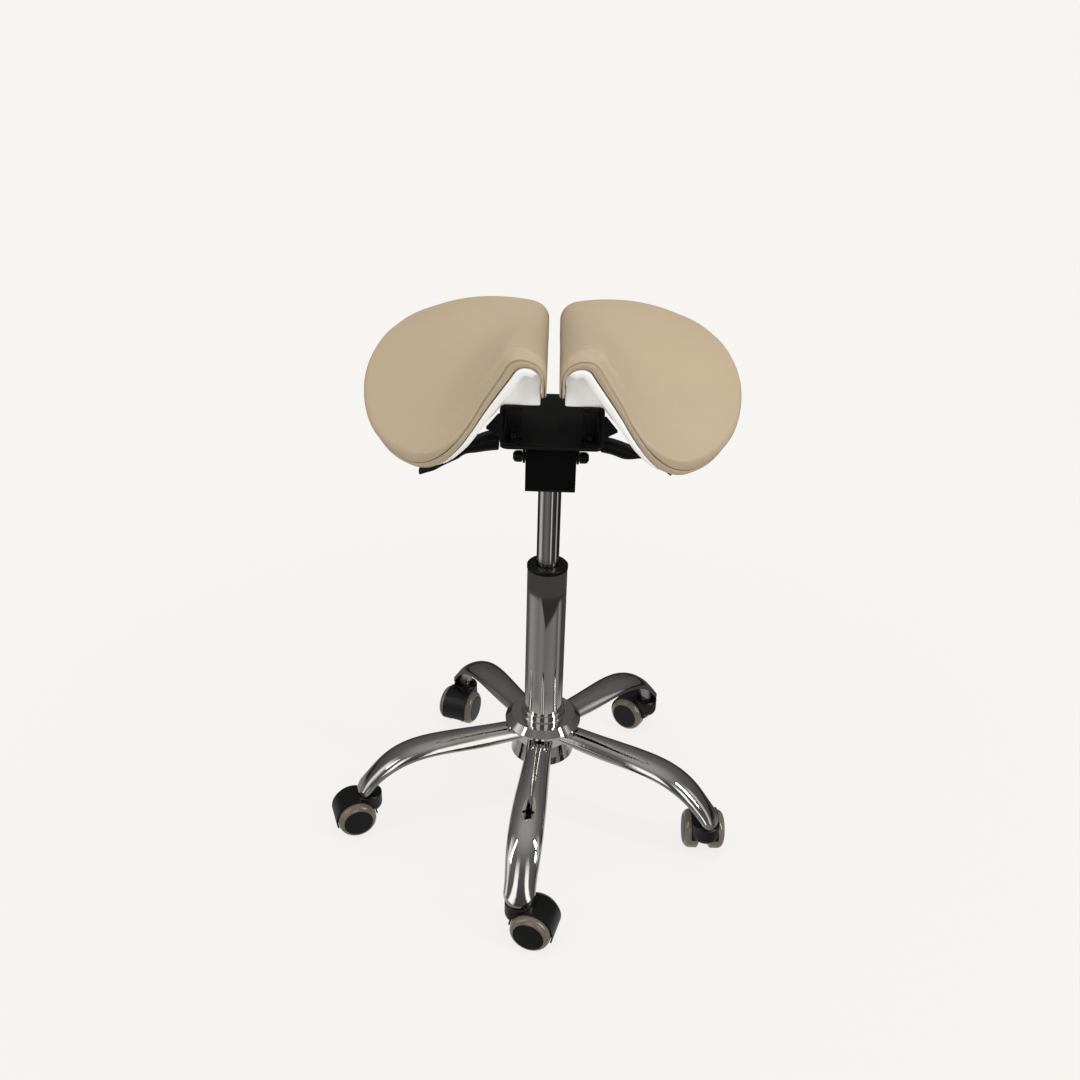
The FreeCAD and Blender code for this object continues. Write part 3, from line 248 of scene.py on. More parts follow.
# Colour, worn colour and its share, range of roughness, the grain's scale and its depth in millimetres,
# then the sockets with a value of their own
finishes = {
    "whiteShell": {
        "colour": linear(234, 233, 230), "worn": linear(224, 224, 221), "share": 0.35,
        "gloss": (0.10, 0.17), "grain": 260.0, "depth": 0.02,
        "sockets": {"Coat Weight": 0.35, "Coat Roughness": 0.06},
    },
    "blackSteel": {
        "colour": linear(6, 6, 6), "worn": linear(11, 10, 10), "share": 0.6,
        "gloss": (0.38, 0.50), "grain": 1500.0, "depth": 0.08, "sockets": {"Specular IOR Level": 0.20},
    },
    # the housing's steel: the same black steel made darker and less reflective, painted shade
    "shadedBoxSteel": {
        "colour": linear(3, 3, 3), "worn": linear(6, 6, 6), "share": 0.6,
        "gloss": (0.40, 0.52), "grain": 1500.0, "depth": 0.08, "sockets": {"Specular IOR Level": 0.10},
    },
    "plainSteel": {
        "colour": linear(150, 148, 145), "worn": linear(120, 118, 115), "share": 0.5,
        "gloss": (0.20, 0.32), "grain": 700.0, "depth": 0.03, "sockets": {"Metallic": 1.0},
    },
    "chrome": {
        "colour": linear(196, 193, 189), "worn": linear(180, 176, 171), "share": 0.4,
        "gloss": (0.025, 0.055), "grain": 60.0, "depth": 0.006, "sockets": {"Metallic": 1.0},
    },
    "gripPlastic": {
        "colour": linear(7, 7, 7), "worn": linear(13, 12, 12), "share": 0.5,
        "gloss": (0.34, 0.46), "grain": 1300.0, "depth": 0.10, "sockets": {"Specular IOR Level": 0.22},
    },
    "blackPlastic": {
        "colour": linear(7, 7, 7), "worn": linear(13, 12, 12), "share": 0.5,
        "gloss": (0.28, 0.40), "grain": 1100.0, "depth": 0.08, "sockets": {"Specular IOR Level": 0.18},
    },
    "hoodPlastic": {
        "colour": linear(8, 8, 8), "worn": linear(14, 13, 13), "share": 0.5,
        "gloss": (0.28, 0.40), "grain": 1500.0, "depth": 0.12, "sockets": {"Specular IOR Level": 0.30},
    },
    "discPlastic": {
        "colour": linear(8, 8, 8), "worn": linear(14, 13, 13), "share": 0.5,
        "gloss": (0.32, 0.44), "grain": 1200.0, "depth": 0.08, "sockets": {"Specular IOR Level": 0.25},
    },
    "tread": {
        "colour": linear(104, 94, 80), "worn": linear(92, 84, 73), "share": 0.7,
        "gloss": (0.16, 0.27), "grain": 500.0, "depth": 0.04,
        "sockets": {"Coat Weight": 0.3, "Coat Roughness": 0.08},
    },
    "bumper": {
        "colour": linear(38, 36, 34), "worn": linear(52, 49, 46), "share": 0.5,
        "gloss": (0.6, 0.75), "grain": 900.0, "depth": 0.15, "sockets": {},
    },
    "copperWire": {
        "colour": linear(150, 76, 48), "worn": linear(112, 60, 42), "share": 0.6,
        "gloss": (0.28, 0.4), "grain": 900.0, "depth": 0.04, "sockets": {"Metallic": 1.0},
    },
}
skinBump = 0.35


def makeFinish(name):
    finish = finishes[name]
    material, tree, shader, coordinates = newMaterial(name)
    skin = tree.nodes.new("ShaderNodeGroup")
    skin.node_tree = skinGroup
    tree.links.new(coordinates, skin.inputs["Vector"])
    skin.inputs["Grain Scale"].default_value = finish["grain"]
    skin.inputs["Gloss Low"].default_value, skin.inputs["Gloss High"].default_value = finish["gloss"]
    skin.inputs["Colour"].default_value = finish["colour"]
    skin.inputs["Worn Colour"].default_value = finish["worn"]
    skin.inputs["Worn Share"].default_value = finish["share"]
    tree.links.new(skin.outputs["Colour"], shader.inputs["Base Color"])
    tree.links.new(skin.outputs["Roughness"], shader.inputs["Roughness"])
    addBump(tree, shader, skin.outputs["Height"], skinBump, finish["depth"] * mm)
    for socket, value in finish["sockets"].items():
        shader.inputs[socket].default_value = value
    return material


leather = {
    "colour": linear(172, 154, 128),
    "shade": linear(170, 152, 126),
    # the colour of the painted shade in the pores' creases
    "creaseShade": linear(152, 135, 111),
    "seam": linear(26, 20, 15),
    "creaseShadeShare": 0.25,
    "roughness": (0.40, 0.46),
    "driftScale": 5.0,
    "pores": 620.0,
    "poreDepth": 0.035,
    "bump": 0.3,
    "sockets": {"Sheen Weight": 0.08, "Sheen Roughness": 0.4, "Specular IOR Level": 0.42},
}


# Leatherette: slow shade over the hide, painted shade in the creases between pores, and the seam by its
# own attribute
def makeLeather():
    material, tree, shader, coordinates = newMaterial("leather")
    pores = tree.nodes.new("ShaderNodeGroup")
    pores.node_tree = leatherGroup
    pores.inputs["Scale"].default_value = leather["pores"]
    tree.links.new(coordinates, pores.inputs["Vector"])
    drift = noise(tree, coordinates, leather["driftScale"], 3.0)
    colour = mixColour(tree, remap(tree, drift, 0.35, 0.65, 0.0, 1.0), leather["colour"], leather["shade"])
    # painted shade darkens the creases between pores
    creaseShade = combine(tree, "MULTIPLY", pores.outputs["Crease Shade"], leather["creaseShadeShare"])
    colour = mixColour(tree, creaseShade, colour, leather["creaseShade"])
    groove = tree.nodes.new("ShaderNodeAttribute")
    groove.attribute_name = "seam"
    colour = mixColour(tree, groove.outputs["Fac"], colour, leather["seam"])
    tree.links.new(colour, shader.inputs["Base Color"])
    gloss = remap(tree, drift, 0.3, 0.7, *leather["roughness"])
    tree.links.new(gloss, shader.inputs["Roughness"])
    addBump(tree, shader, pores.outputs["Height"], leather["bump"], leather["poreDepth"] * mm)
    for socket, value in leather["sockets"].items():
        shader.inputs[socket].default_value = value
    return material


materials = {name: makeFinish(name) for name in finishes}
materials["leather"] = makeLeather()
print("finishes made: %d" % len(materials))

# Which finish each CAD node takes, by the start of its name
nodeFinishes = [
    ("arm_", "chrome"), ("hub_sleeve", "chrome"), ("hub_cover", "chrome"), ("column_tube", "chrome"),
    ("gas_cylinder", "chrome"), ("caster_sockets", "plainSteel"), ("caster_stems", "plainSteel"),
    ("piston_rod", "plainSteel"), ("rod_clip", "plainSteel"), ("thrust_bearing", "plainSteel"),
    ("release_pin", "plainSteel"), ("taper_socket", "blackSteel"), ("column_cap", "blackPlastic"),
    # the housing takes the darker copy of the black steel, painted shade
    ("guide_bush", "blackPlastic"), ("bump_stop", "bumper"), ("mech_housing", "shadedBoxSteel"),
    ("pivot_shaft", "plainSteel"), ("pivot_caps", "blackPlastic"), ("tilt_spring", "copperWire"),
    ("height_lever", "blackSteel"), ("tilt_lever", "blackSteel"), ("height_grip", "gripPlastic"),
    ("tilt_grip", "gripPlastic"), ("seat_plate", "blackSteel"), ("seat_brackets", "blackSteel"),
    ("plate_bolts", "blackSteel"), ("shell_screws", "blackSteel"), ("shell_", "whiteShell"),
    ("cushion_", "leather"), ("hood_", "hoodPlastic"), ("tyre_", "tread"), ("hub_", "discPlastic"),
]


def dressNodes():
    for name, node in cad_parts.items():
        finish = next(finish for start, finish in nodeFinishes if name.startswith(start))
        node.data.materials.clear()
        node.data.materials.append(materials[finish])


dressNodes()


# Seat half. Sizes in millimetres; the stations are nearly the ones of the solid: share of the length,
# rise of the arch above its lowest top, share of its radius, the two slopes of the flank in degrees,
# share of the half width and share of the padding
seat = {
    "stations": [
        (0.000, 11.0, 0.80, 60.0, 46.0, 0.484, 0.56),
        (0.060, 11.0, 0.80, 58.0, 40.0, 0.630, 0.68),
        (0.169, 8.0, 0.90, 49.0, 38.0, 0.785, 0.82),
        (0.309, 3.0, 1.00, 33.0, 37.0, 0.922, 0.93),
        (0.490, 0.0, 1.00, 15.0, 34.0, 1.000, 1.00),
        (0.671, 1.0, 1.00, 5.0, 29.0, 0.988, 1.00),
        (0.831, 5.0, 0.90, 1.0, 24.0, 0.897, 0.93),
        (0.940, 7.0, 0.80, -1.0, 20.0, 0.757, 0.82),
        (1.000, 7.0, 0.70, -2.0, 13.0, 0.557, 0.52),
    ],
    "archRadius": 20.0,
    "archRise": 35.0,
    "padding": 27.0,
    "slotHalfWidth": 7.0,
    "leg": 6.0,
    "coverRise": 13.0,
    "halfWidth": 217.0,
    "around": 384,
}
lowest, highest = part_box("cushion_right")
seatFront, seatRear = lowest.y / mm, highest.y / mm
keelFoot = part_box("seat_brackets")[1].z / mm
seatFoot = keelFoot + seat["coverRise"]


# One column of the stations, read at shares of the length
def seatValue(column, along):
    rows = np.array(seat["stations"])
    return throughStations(rows[:, 0], rows[:, column], along)


# The seat's under face and outer face at shares of the length, and at a distance along the under face
# from the leg's foot to the hem. Both run up a wall, round an arch and out along a flank of one steady
# bend: centre + radius * (sin a, cos a), with the slope a in step with the distance.
class SeatFaces:
    def __init__(self, along):
        self.y = seatFront + along * (seatRear - seatFront)
        radius = seatValue(2, along) * seat["archRadius"]
        self.first, self.last = np.radians(seatValue(3, along)), np.radians(seatValue(4, along))
        width = seatValue(5, along) * seat["halfWidth"]
        self.padding = seatValue(6, along) * seat["padding"]
        wall = seat["slotHalfWidth"] + seat["leg"]
        top = keelFoot + seat["archRise"] + seatValue(1, along)
        self.wall, self.radius = wall, radius
        self.archX, self.archZ = wall + radius, top - radius
        startX = self.archX + radius * np.sin(self.first)
        startZ = self.archZ + radius * np.cos(self.first)
        self.bend = (width - startX) / (np.sin(self.last) - np.sin(self.first))
        self.middleX = startX - self.bend * np.sin(self.first)
        self.middleZ = startZ - self.bend * np.cos(self.first)
        # the outer corner is an arc that leaves the slot wall upright and meets the crest's first slope
        crest = self.bend + self.padding
        crestX = self.middleX + crest * np.sin(self.first)
        crestZ = self.middleZ + crest * np.cos(self.first)
        self.shoulder = (crestX - seat["slotHalfWidth"]) / (1.0 + np.sin(self.first))
        self.shoulderX = seat["slotHalfWidth"] + self.shoulder
        self.shoulderZ = crestZ - self.shoulder * np.cos(self.first)
        onArch, onFlank = radius * (self.first + math.pi / 2), self.bend * (self.last - self.first)
        self.lengths = [self.archZ - seatFoot, onArch, onFlank]
        self.length = sum(self.lengths)

    def at(self, distance):
        wall, arch, flank = self.lengths
        u = distance / wall
        lowX, lowZ = self.wall + 0 * u, seatFoot + u * wall
        highX, highZ = seat["slotHalfWidth"] + 0 * u, seatFoot + u * (self.shoulderZ - seatFoot)
        slope = (distance - wall) / arch * (self.first + math.pi / 2) - math.pi / 2
        onArch = distance > wall
        lowX = np.where(onArch, self.archX + self.radius * np.sin(slope), lowX)
        lowZ = np.where(onArch, self.archZ + self.radius * np.cos(slope), lowZ)
        highX = np.where(onArch, self.shoulderX + self.shoulder * np.sin(slope), highX)
        highZ = np.where(onArch, self.shoulderZ + self.shoulder * np.cos(slope), highZ)
        slope = self.first + (distance - wall - arch) / flank * (self.last - self.first)
        onFlank = distance > wall + arch
        lowX = np.where(onFlank, self.middleX + self.bend * np.sin(slope), lowX)
        lowZ = np.where(onFlank, self.middleZ + self.bend * np.cos(slope), lowZ)
        crest = self.bend + self.padding
        highX = np.where(onFlank, self.middleX + crest * np.sin(slope), highX)
        highZ = np.where(onFlank, self.middleZ + crest * np.cos(slope), highZ)
        y = self.y + 0 * lowX
        return np.stack([lowX, y, lowZ], -1), np.stack([highX, y, highZ], -1)


# The front edge leaves the plain bend a little: its rise by the distance from the middle, whole in
# front of one place and gone behind the other
frontEdge = {
    "across": (0.0, 30.0, 45.0, 60.0, 75.0, 90.0, 105.0, 120.0, 135.0, 150.0, 168.0, 200.0, 235.0),
    "rise": (0.0, 0.8, 3.0, 5.0, 3.4, -2.6, -7.6, -10.4, -9.9, -7.4, -4.0, 0.0, 0.0),
    "places": (-55.0, 60.0),
}
# the crest behind is softer beside the slot and fuller over the thigh: the top's rise, gone in front of
# one place and whole behind the other, and likewise by the height above the legs' foot
rearTop = {
    "across": (0.0, 25.0, 40.0, 58.0, 78.0, 100.0, 130.0, 160.0, 200.0, 235.0),
    "rise": (-7.5, -6.2, -3.9, -1.7, 0.3, 1.8, 2.2, 0.8, 0.0, 0.0),
    "places": (0.0, 110.0),
    "aboveFoot": (4.0, 34.0),
}


def frontRise(x, y):
    rise = throughStations(frontEdge["across"], frontEdge["rise"], np.abs(x))
    return rise * (1.0 - ease(y, *frontEdge["places"]))


def rearRise(x, y, z):
    whole = ease(y, *rearTop["places"]) * ease(z - seatFoot, *rearTop["aboveFoot"])
    return throughStations(rearTop["across"], rearTop["rise"], np.abs(x)) * whole


cushion = {
    # corner radii as shares of (width, length): tip, hem behind, slot behind, leg in front
    "corners": [(0.08, 0.050), (0.17, 0.155), (0.110, 0.105), (0.012, 0.012)],
    "middle": (0.50, 0.50),
    # where the edge changes: a share of the length, then shares of the way from the slot to the tip
    "front": (0.02, 0.16),
    "leg": (0.04, 0.20),
    "seamLowers": (0.30, 0.50),
    "flank": (0.28, 0.60),
    "tip": (0.64, 0.98),
    # the rolled edge, wider behind, at most a share of the padding
    "roll": 7.5,
    "rollMoreBehind": 5.0,
    "rollShare": 0.42,
    # the seam's height above the shell, whole on padding of this thickness, and how much lower it runs
    # behind and along the flank
    "seamHeight": 9.2,
    "seamPadding": 15.0,
    "seamLower": (0.25, 0.12),
    # the seam's groove: depth, the share lost on the leg, half width, and how far its dark reaches
    "seamDepth": 1.5,
    "seamLessOnLeg": 0.8,
    "seamHalfWidth": 0.55,
    "seamDark": (0.6, 1.15),
    # the groove's bell: how far it runs to each side and how steeply, and its step in half widths
    "grooveEnd": 1.6,
    "grooveSteep": 1.6,
    "grooveStep": 1.4,
    # the band below the seam: its start below it in half widths, its bulge and how far its foot tucks in
    "bandStart": 2.3,
    "bandBulge": 0.9,
    "bandTuck": 0.9,
    # the lip below the crown: depth, the share lost at the tip, its width behind the roll, and the run of
    # the rise behind it over the arch and along the flank
    "dip": 4.4,
    "dipLessAtTip": 0.85,
    "dipBack": 8.0,
    "dipRun": (7.0, 19.0),
    "shellGap": 0.45,
    # the top's rows are close within this distance of the edge, or this share of the way to the middle
    "nearEdge": (46.0, 0.6),
    "rows": {"middle": 34, "top": 34, "roll": 14, "groove": 13, "band": 12, "under": 26},
    "cornerPoints": 24,
    "finePoints": 6000,
}


# The outline in shares (across, along): four sides with elliptical corners, evenly spaced by real length
def seatOutline(count):
    tip, hemBack, slotBack, leg = cushion["corners"]
    turn = np.linspace(0.0, math.pi / 2, cushion["cornerPoints"])
    rounds = [
        (1 - tip[0] + tip[0] * np.sin(turn), tip[1] - tip[1] * np.cos(turn)),
        (1 - hemBack[0] + hemBack[0] * np.cos(turn), 1 - hemBack[1] + hemBack[1] * np.sin(turn)),
        (slotBack[0] - slotBack[0] * np.sin(turn), 1 - slotBack[1] + slotBack[1] * np.cos(turn)),
        (leg[0] - leg[0] * np.cos(turn), leg[1] - leg[1] * np.sin(turn)),
    ]
    across = np.concatenate([part[0] for part in rounds] + [rounds[0][0][:1]])
    along = np.concatenate([part[1] for part in rounds] + [rounds[0][1][:1]])
    # fill the straight sides, then space the points evenly by their real distance
    fine = np.linspace(0.0, len(across) - 1.0, cushion["finePoints"])
    across = np.interp(fine, np.arange(len(across)), across)
    along = np.interp(fine, np.arange(len(along)), along)
    faces = SeatFaces(along)
    low, high = faces.at(across * faces.length)
    place = (low + high) / 2
    steps = np.linalg.norm(np.diff(place, axis=0), axis=1)
    run = np.concatenate([[0.0], np.cumsum(steps)])
    even = np.linspace(0.0, run[-1], count, endpoint=False)
    return np.interp(even, run, across), np.interp(even, run, along)


# What the edge is like at each point of the outline: the lip, sharp over the arch and soft along the
# flank, with the run behind it, then the roll, the seam's height and the groove's depth
def edgeForm(across, along, thickness):
    frontness = 1.0 - ease(along, *cushion["front"])
    legness = 1.0 - ease(across, *cushion["leg"])
    tipness = ease(across, *cushion["tip"])
    dip = cushion["dip"] * frontness * (1.0 - legness) * (1.0 - cushion["dipLessAtTip"] * tipness)
    sharp, soft = cushion["dipRun"]
    dipRun = sharp + (soft - sharp) * ease(across, *cushion["flank"])
    roll = cushion["roll"] + cushion["rollMoreBehind"] * (1.0 - frontness)
    roll = np.minimum(roll, cushion["rollShare"] * thickness)
    seam = cushion["seamHeight"] * np.minimum(thickness / cushion["seamPadding"], 1.0)
    behind, out = cushion["seamLower"]
    seam *= (1.0 - behind * (1.0 - frontness)) * (1.0 - out * ease(across, *cushion["seamLowers"]))
    groove = cushion["seamDepth"] * (1.0 - cushion["seamLessOnLeg"] * legness)
    return dip, dipRun, roll, seam, groove


# The rows from the middle of the top over the edge to the middle of the underside: each one's inset from
# the edge, and its height either below the top or above the shell. The groove is a bell, its depth times
# exp(-(steep * u)^2), and the band under it bulges by a half sine.
def cushionRows(full, dip, dipRun, roll, seam, groove):
    counts = cushion["rows"]
    gap, half, tuck = cushion["shellGap"], cushion["seamHalfWidth"], cushion["bandTuck"]
    insets, drops, rises = [], [], []

    def row(inset, below=np.nan, above=np.nan):
        insets.append(inset + 0 * full)
        drops.append(below + 0 * full)
        rises.append(above + 0 * full)

    def crown(inset):
        start = roll + cushion["dipBack"]
        return dip * (1.0 - ease(inset, start, start + dipRun))

    most, share = cushion["nearEdge"]
    near = np.minimum(most, share * full)
    for u in np.linspace(0.0, 1.0, counts["middle"])[:-1]:
        inset = full + (near - full) * u
        row(inset, below=crown(inset))
    for u in np.linspace(0.0, 1.0, counts["top"]):
        inset = near + (roll - near) * u
        row(inset, below=crown(inset))
    for turn in np.linspace(0.0, math.pi / 2, counts["roll"])[1:]:
        row(roll * (1.0 - math.sin(turn)), below=crown(roll) + roll * (1.0 - math.cos(turn)))
    grooveRow = len(insets) + counts["groove"] // 2
    for u in np.linspace(-cushion["grooveEnd"], cushion["grooveEnd"], counts["groove"]):
        inset = groove * math.exp(-(u * cushion["grooveSteep"]) ** 2)
        row(inset, above=seam - u * half * cushion["grooveStep"])
    for u in np.linspace(0.0, 1.0, counts["band"])[1:]:
        inset = -cushion["bandBulge"] * math.sin(math.pi * u) + tuck * u**3
        row(inset, above=(seam - cushion["bandStart"] * half) * (1.0 - u) + gap)
    for u in np.linspace(0.0, 1.0, counts["under"])[1:]:
        row(tuck + (full - tuck) * u, above=gap)
    return np.array(insets), np.array(drops), np.array(rises), grooveRow


# The cushion is one grid: round the outline, and row by row from pole to pole. Gives the piece and the
# middle line of its groove.
def makeCushion(side):
    across, along = seatOutline(seat["around"])
    middleAcross, middleAlong = cushion["middle"]
    edge = SeatFaces(along)
    length = seatRear - seatFront
    # real reach from the edge to the middle, and how obliquely it leaves the edge
    reach = np.stack([(across - middleAcross) * edge.length, (along - middleAlong) * length], -1)
    distance = np.linalg.norm(reach, axis=1)
    tangent = np.roll(reach, -1, 0) - np.roll(reach, 1, 0)
    tangent /= np.linalg.norm(tangent, axis=1)[:, None]
    square = np.abs(reach[:, 0] * tangent[:, 1] - reach[:, 1] * tangent[:, 0]) / distance
    square = np.clip(square, 0.5, 1.0)
    low, high = edge.at(across * edge.length)
    form = edgeForm(across, along, np.linalg.norm(high - low, axis=1))
    insets, drops, rises, grooveRow = cushionRows(distance * square, *form)

    share = 1.0 - insets / square[None, :] / distance[None, :]
    acrossAll = middleAcross + share * (across - middleAcross)[None, :]
    alongAll = middleAlong + share * (along - middleAlong)[None, :]
    clipped = np.clip(alongAll, 0.0, 1.0)
    faces = SeatFaces(clipped)
    low, high = faces.at(acrossAll * faces.length)
    low[..., 1] += (alongAll - clipped) * length
    high[..., 1] += (alongAll - clipped) * length
    padding = np.linalg.norm(high - low, axis=-1)
    height = np.where(np.isnan(drops), rises, padding - drops)
    points = low + (high - low) * (height / padding)[..., None]
    points[..., 2] += frontRise(points[..., 0], points[..., 1])
    points[..., 2] += rearRise(*np.moveaxis(points, -1, 0)) * np.clip(height / padding, 0.0, 1.0)
    points[..., 0] *= side
    points *= mm
    name = "cushionRight" if side > 0 else "cushionLeft"
    return linkMesh(name, points, "seat", materials["leather"]), points[grooveRow]


# A point is in the seam if it lies near the middle line of the groove
def markSeam(piece, groove):
    tree = KDTree(len(groove))
    for index, point in enumerate(groove):
        tree.insert(point, index)
    tree.balance()
    gaps = np.array([tree.find(point)[2] for point in pointsOf(piece.data)])
    solid, gone = cushion["seamDark"]
    dark = 1.0 - ease(gaps, solid * mm, gone * mm)
    attribute = piece.data.attributes.new("seam", "FLOAT", "POINT")
    attribute.data.foreach_set("value", dark.astype(np.float32))


for side, name in ((1, "cushion_right"), (-1, "cushion_left")):
    piece, groove = makeCushion(side)
    markSeam(piece, groove)
    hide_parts(name)
print("cushions made")


# The piece with its modifiers worked into its mesh
def meshOf(piece):
    graph = bpy.context.evaluated_depsgraph_get()
    made = bpy.data.meshes.new_from_object(piece.evaluated_get(graph))
    piece.modifiers.clear()
    piece.data = made
    return made


# A smooth copy of a CAD node: its triangles merged, remade in even cells, shaped point by point in
# millimetres and relaxed, so that moulded corners and roots are rounded
def mouldedCopy(node, name, cell, rounds, finish, shape):
    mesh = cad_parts[node].data.copy()
    piece = bpy.data.objects.new(name, mesh)
    bpy.context.scene.collection.objects.link(piece)
    sheet = bmesh.new()
    sheet.from_mesh(mesh)
    bmesh.ops.remove_doubles(sheet, verts=sheet.verts, dist=0.01 * mm)
    sheet.to_mesh(mesh)
    sheet.free()
    remesh = piece.modifiers.new("cells", "REMESH")
    remesh.mode = "VOXEL"
    remesh.voxel_size = cell * mm
    made = meshOf(piece)
    made.vertices.foreach_set("co", (shape(pointsOf(made) / mm) * mm).ravel())
    relax = piece.modifiers.new("relax", "SMOOTH")
    relax.factor = 0.5
    relax.iterations = rounds
    made = meshOf(piece)
    made.name = name
    made.polygons.foreach_set("use_smooth", [True] * len(made.polygons))
    made.materials.clear()
    made.materials.append(materials[finish])
    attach(piece, "seat")
    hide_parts(node)
    return piece


shell = {
    "cell": 1.7,
    "rounds": 6,
    # the rim before the front panel: its depth, and the angles between which it fades in
    "panelFront": -52.0,
    "rimDepth": 12.0,
    "rimFades": (-92.0, -28.0),
    # the panel keeps its place below the front edge's bend: up to this height, out to this distance from
    # the middle, and from this place back
    "panelFoot": (606.0, 628.0),
    "panelSide": (62.0, 84.0),
    "panelPlane": (-59.0, -54.0),
    # the wing's front thins towards the tip, by the distance from the middle and by the place along, and
    # no place gets thinner than the last value
    "thinner": 0.94,
    "thinsAcross": (70.0, 146.0),
    "thinsAlong": (-45.0, 60.0),
    "thinnest": 1.3,
}


# The shell's front edge follows the cushion's, and its rim fades into the panel round the arch: its
# depth goes with the angle from upright about the arch's middle. The thinner part of the wing is drawn
# towards the cushion over it.
def shellShape(points):
    arch = SeatFaces(np.array([0.0]))
    x, z = np.abs(points[:, 0]), points[:, 2]
    turn = np.degrees(np.arctan2(x - arch.archX[0], z - arch.archZ[0]))
    depth = shell["rimDepth"] * ease(turn, *shell["rimFades"])
    points[:, 1] = np.maximum(points[:, 1], shell["panelFront"] - depth)
    onPanel = (1.0 - ease(z, *shell["panelFoot"])) * (1.0 - ease(x, *shell["panelSide"]))
    onPanel *= ease(points[:, 1], *shell["panelPlane"])
    points[:, 2] += frontRise(points[:, 0], points[:, 1]) * (1.0 - onPanel)
    side = "cushionRight" if points[:, 0].mean() > 0 else "cushionLeft"
    graph = bpy.context.evaluated_depsgraph_get()
    over = BVHTree.FromObject(bpy.data.objects[side], graph)
    share = shell["thinner"] * ease(x, *shell["thinsAcross"])
    share = share * (1.0 - ease(points[:, 1], *shell["thinsAlong"]))
    for index in np.nonzero(share > 0.01)[0]:
        point = Vector(points[index]) * mm
        nearest, _, _, gap = over.find_nearest(point)
        gap /= mm
        if gap > shell["thinnest"]:
            kept = max(gap * (1.0 - share[index]), shell["thinnest"])
            points[index] = np.array(nearest.lerp(point, kept / gap)) / mm
    return points


for side in ("right", "left"):
    mouldedCopy(
        "shell_" + side, "shell" + side.capitalize(), shell["cell"], shell["rounds"], "whiteShell",
        shellShape)
print("shells moulded")

plate = {
    "cell": 1.1,
    "rounds": 2,
    # the tongue behind the last bolts reaches further back
    "tongue": (84.0, 104.0),
    "further": 16.0,
    # the clamp strap: its inner face and the points near it that are held to it below its root, because
    # the lever's collar passes close by
    "strapFace": -21.5,
    "strapAcross": (-23.8, -20.0),
    "strapAlong": (3.0, 26.0),
    "strapRoot": 553.2,
}


def plateShape(points):
    start, end = plate["tongue"]
    points[:, 1] += plate["further"] * np.clip((points[:, 1] - start) / (end - start), 0.0, 1.0)
    across, along, up = points.T
    left, right = plate["strapAcross"]
    front, rear = plate["strapAlong"]
    root = (across > left) & (across < right) & (along > front) & (along < rear)
    root &= up < plate["strapRoot"]
    points[root, 0] = np.minimum(points[root, 0], plate["strapFace"])
    return points


mouldedCopy(
    "seat_plate", "seatPlate", plate["cell"], plate["rounds"], "blackSteel", plateShape)
print("plate made")

# Grips: at each station the distance out, the middle's height against the rod, half the height and
# half the width
grips = {
    "heightGrip": {
        "node": "height_grip",
        "rod": "height_lever",
        "side": 1,
        "stations": [
            (58.0, -1.0, 8.4, 10.5), (70.0, -3.0, 8.6, 11.6), (88.0, -8.7, 8.4, 12.3),
            (96.0, -9.9, 6.4, 12.4), (103.0, -9.9, 5.2, 12.0), (111.0, -10.0, 4.6, 11.2),
            (118.0, -12.0, 4.4, 10.8), (125.0, -16.4, 4.5, 10.3), (132.0, -23.0, 4.7, 9.8),
            (137.0, -28.6, 4.6, 9.0), (140.5, -32.0, 4.0, 7.6),
        ],
    },
    "tiltGrip": {
        "node": "tilt_grip",
        "rod": "tilt_lever",
        "side": -1,
        "stations": [
            (62.0, -5.0, 11.2, 11.2), (76.0, -6.6, 11.2, 12.5), (87.5, -10.1, 9.8, 12.5),
            (103.7, -15.8, 7.6, 12.5), (110.9, -21.7, 7.0, 12.5), (117.0, -25.2, 6.5, 12.4),
            (129.0, -32.3, 6.0, 12.0), (138.7, -38.6, 5.6, 11.4), (149.0, -43.2, 4.8, 10.4),
            (154.5, -45.7, 4.6, 9.4),
        ],
    },
}
gripForm = {
    "rows": 72, "around": 48, "square": 2.6, "rootRound": 1.2, "rootRows": 5,
    "tipRound": 4.0, "tipRows": 9, "tipPower": 0.7,
}


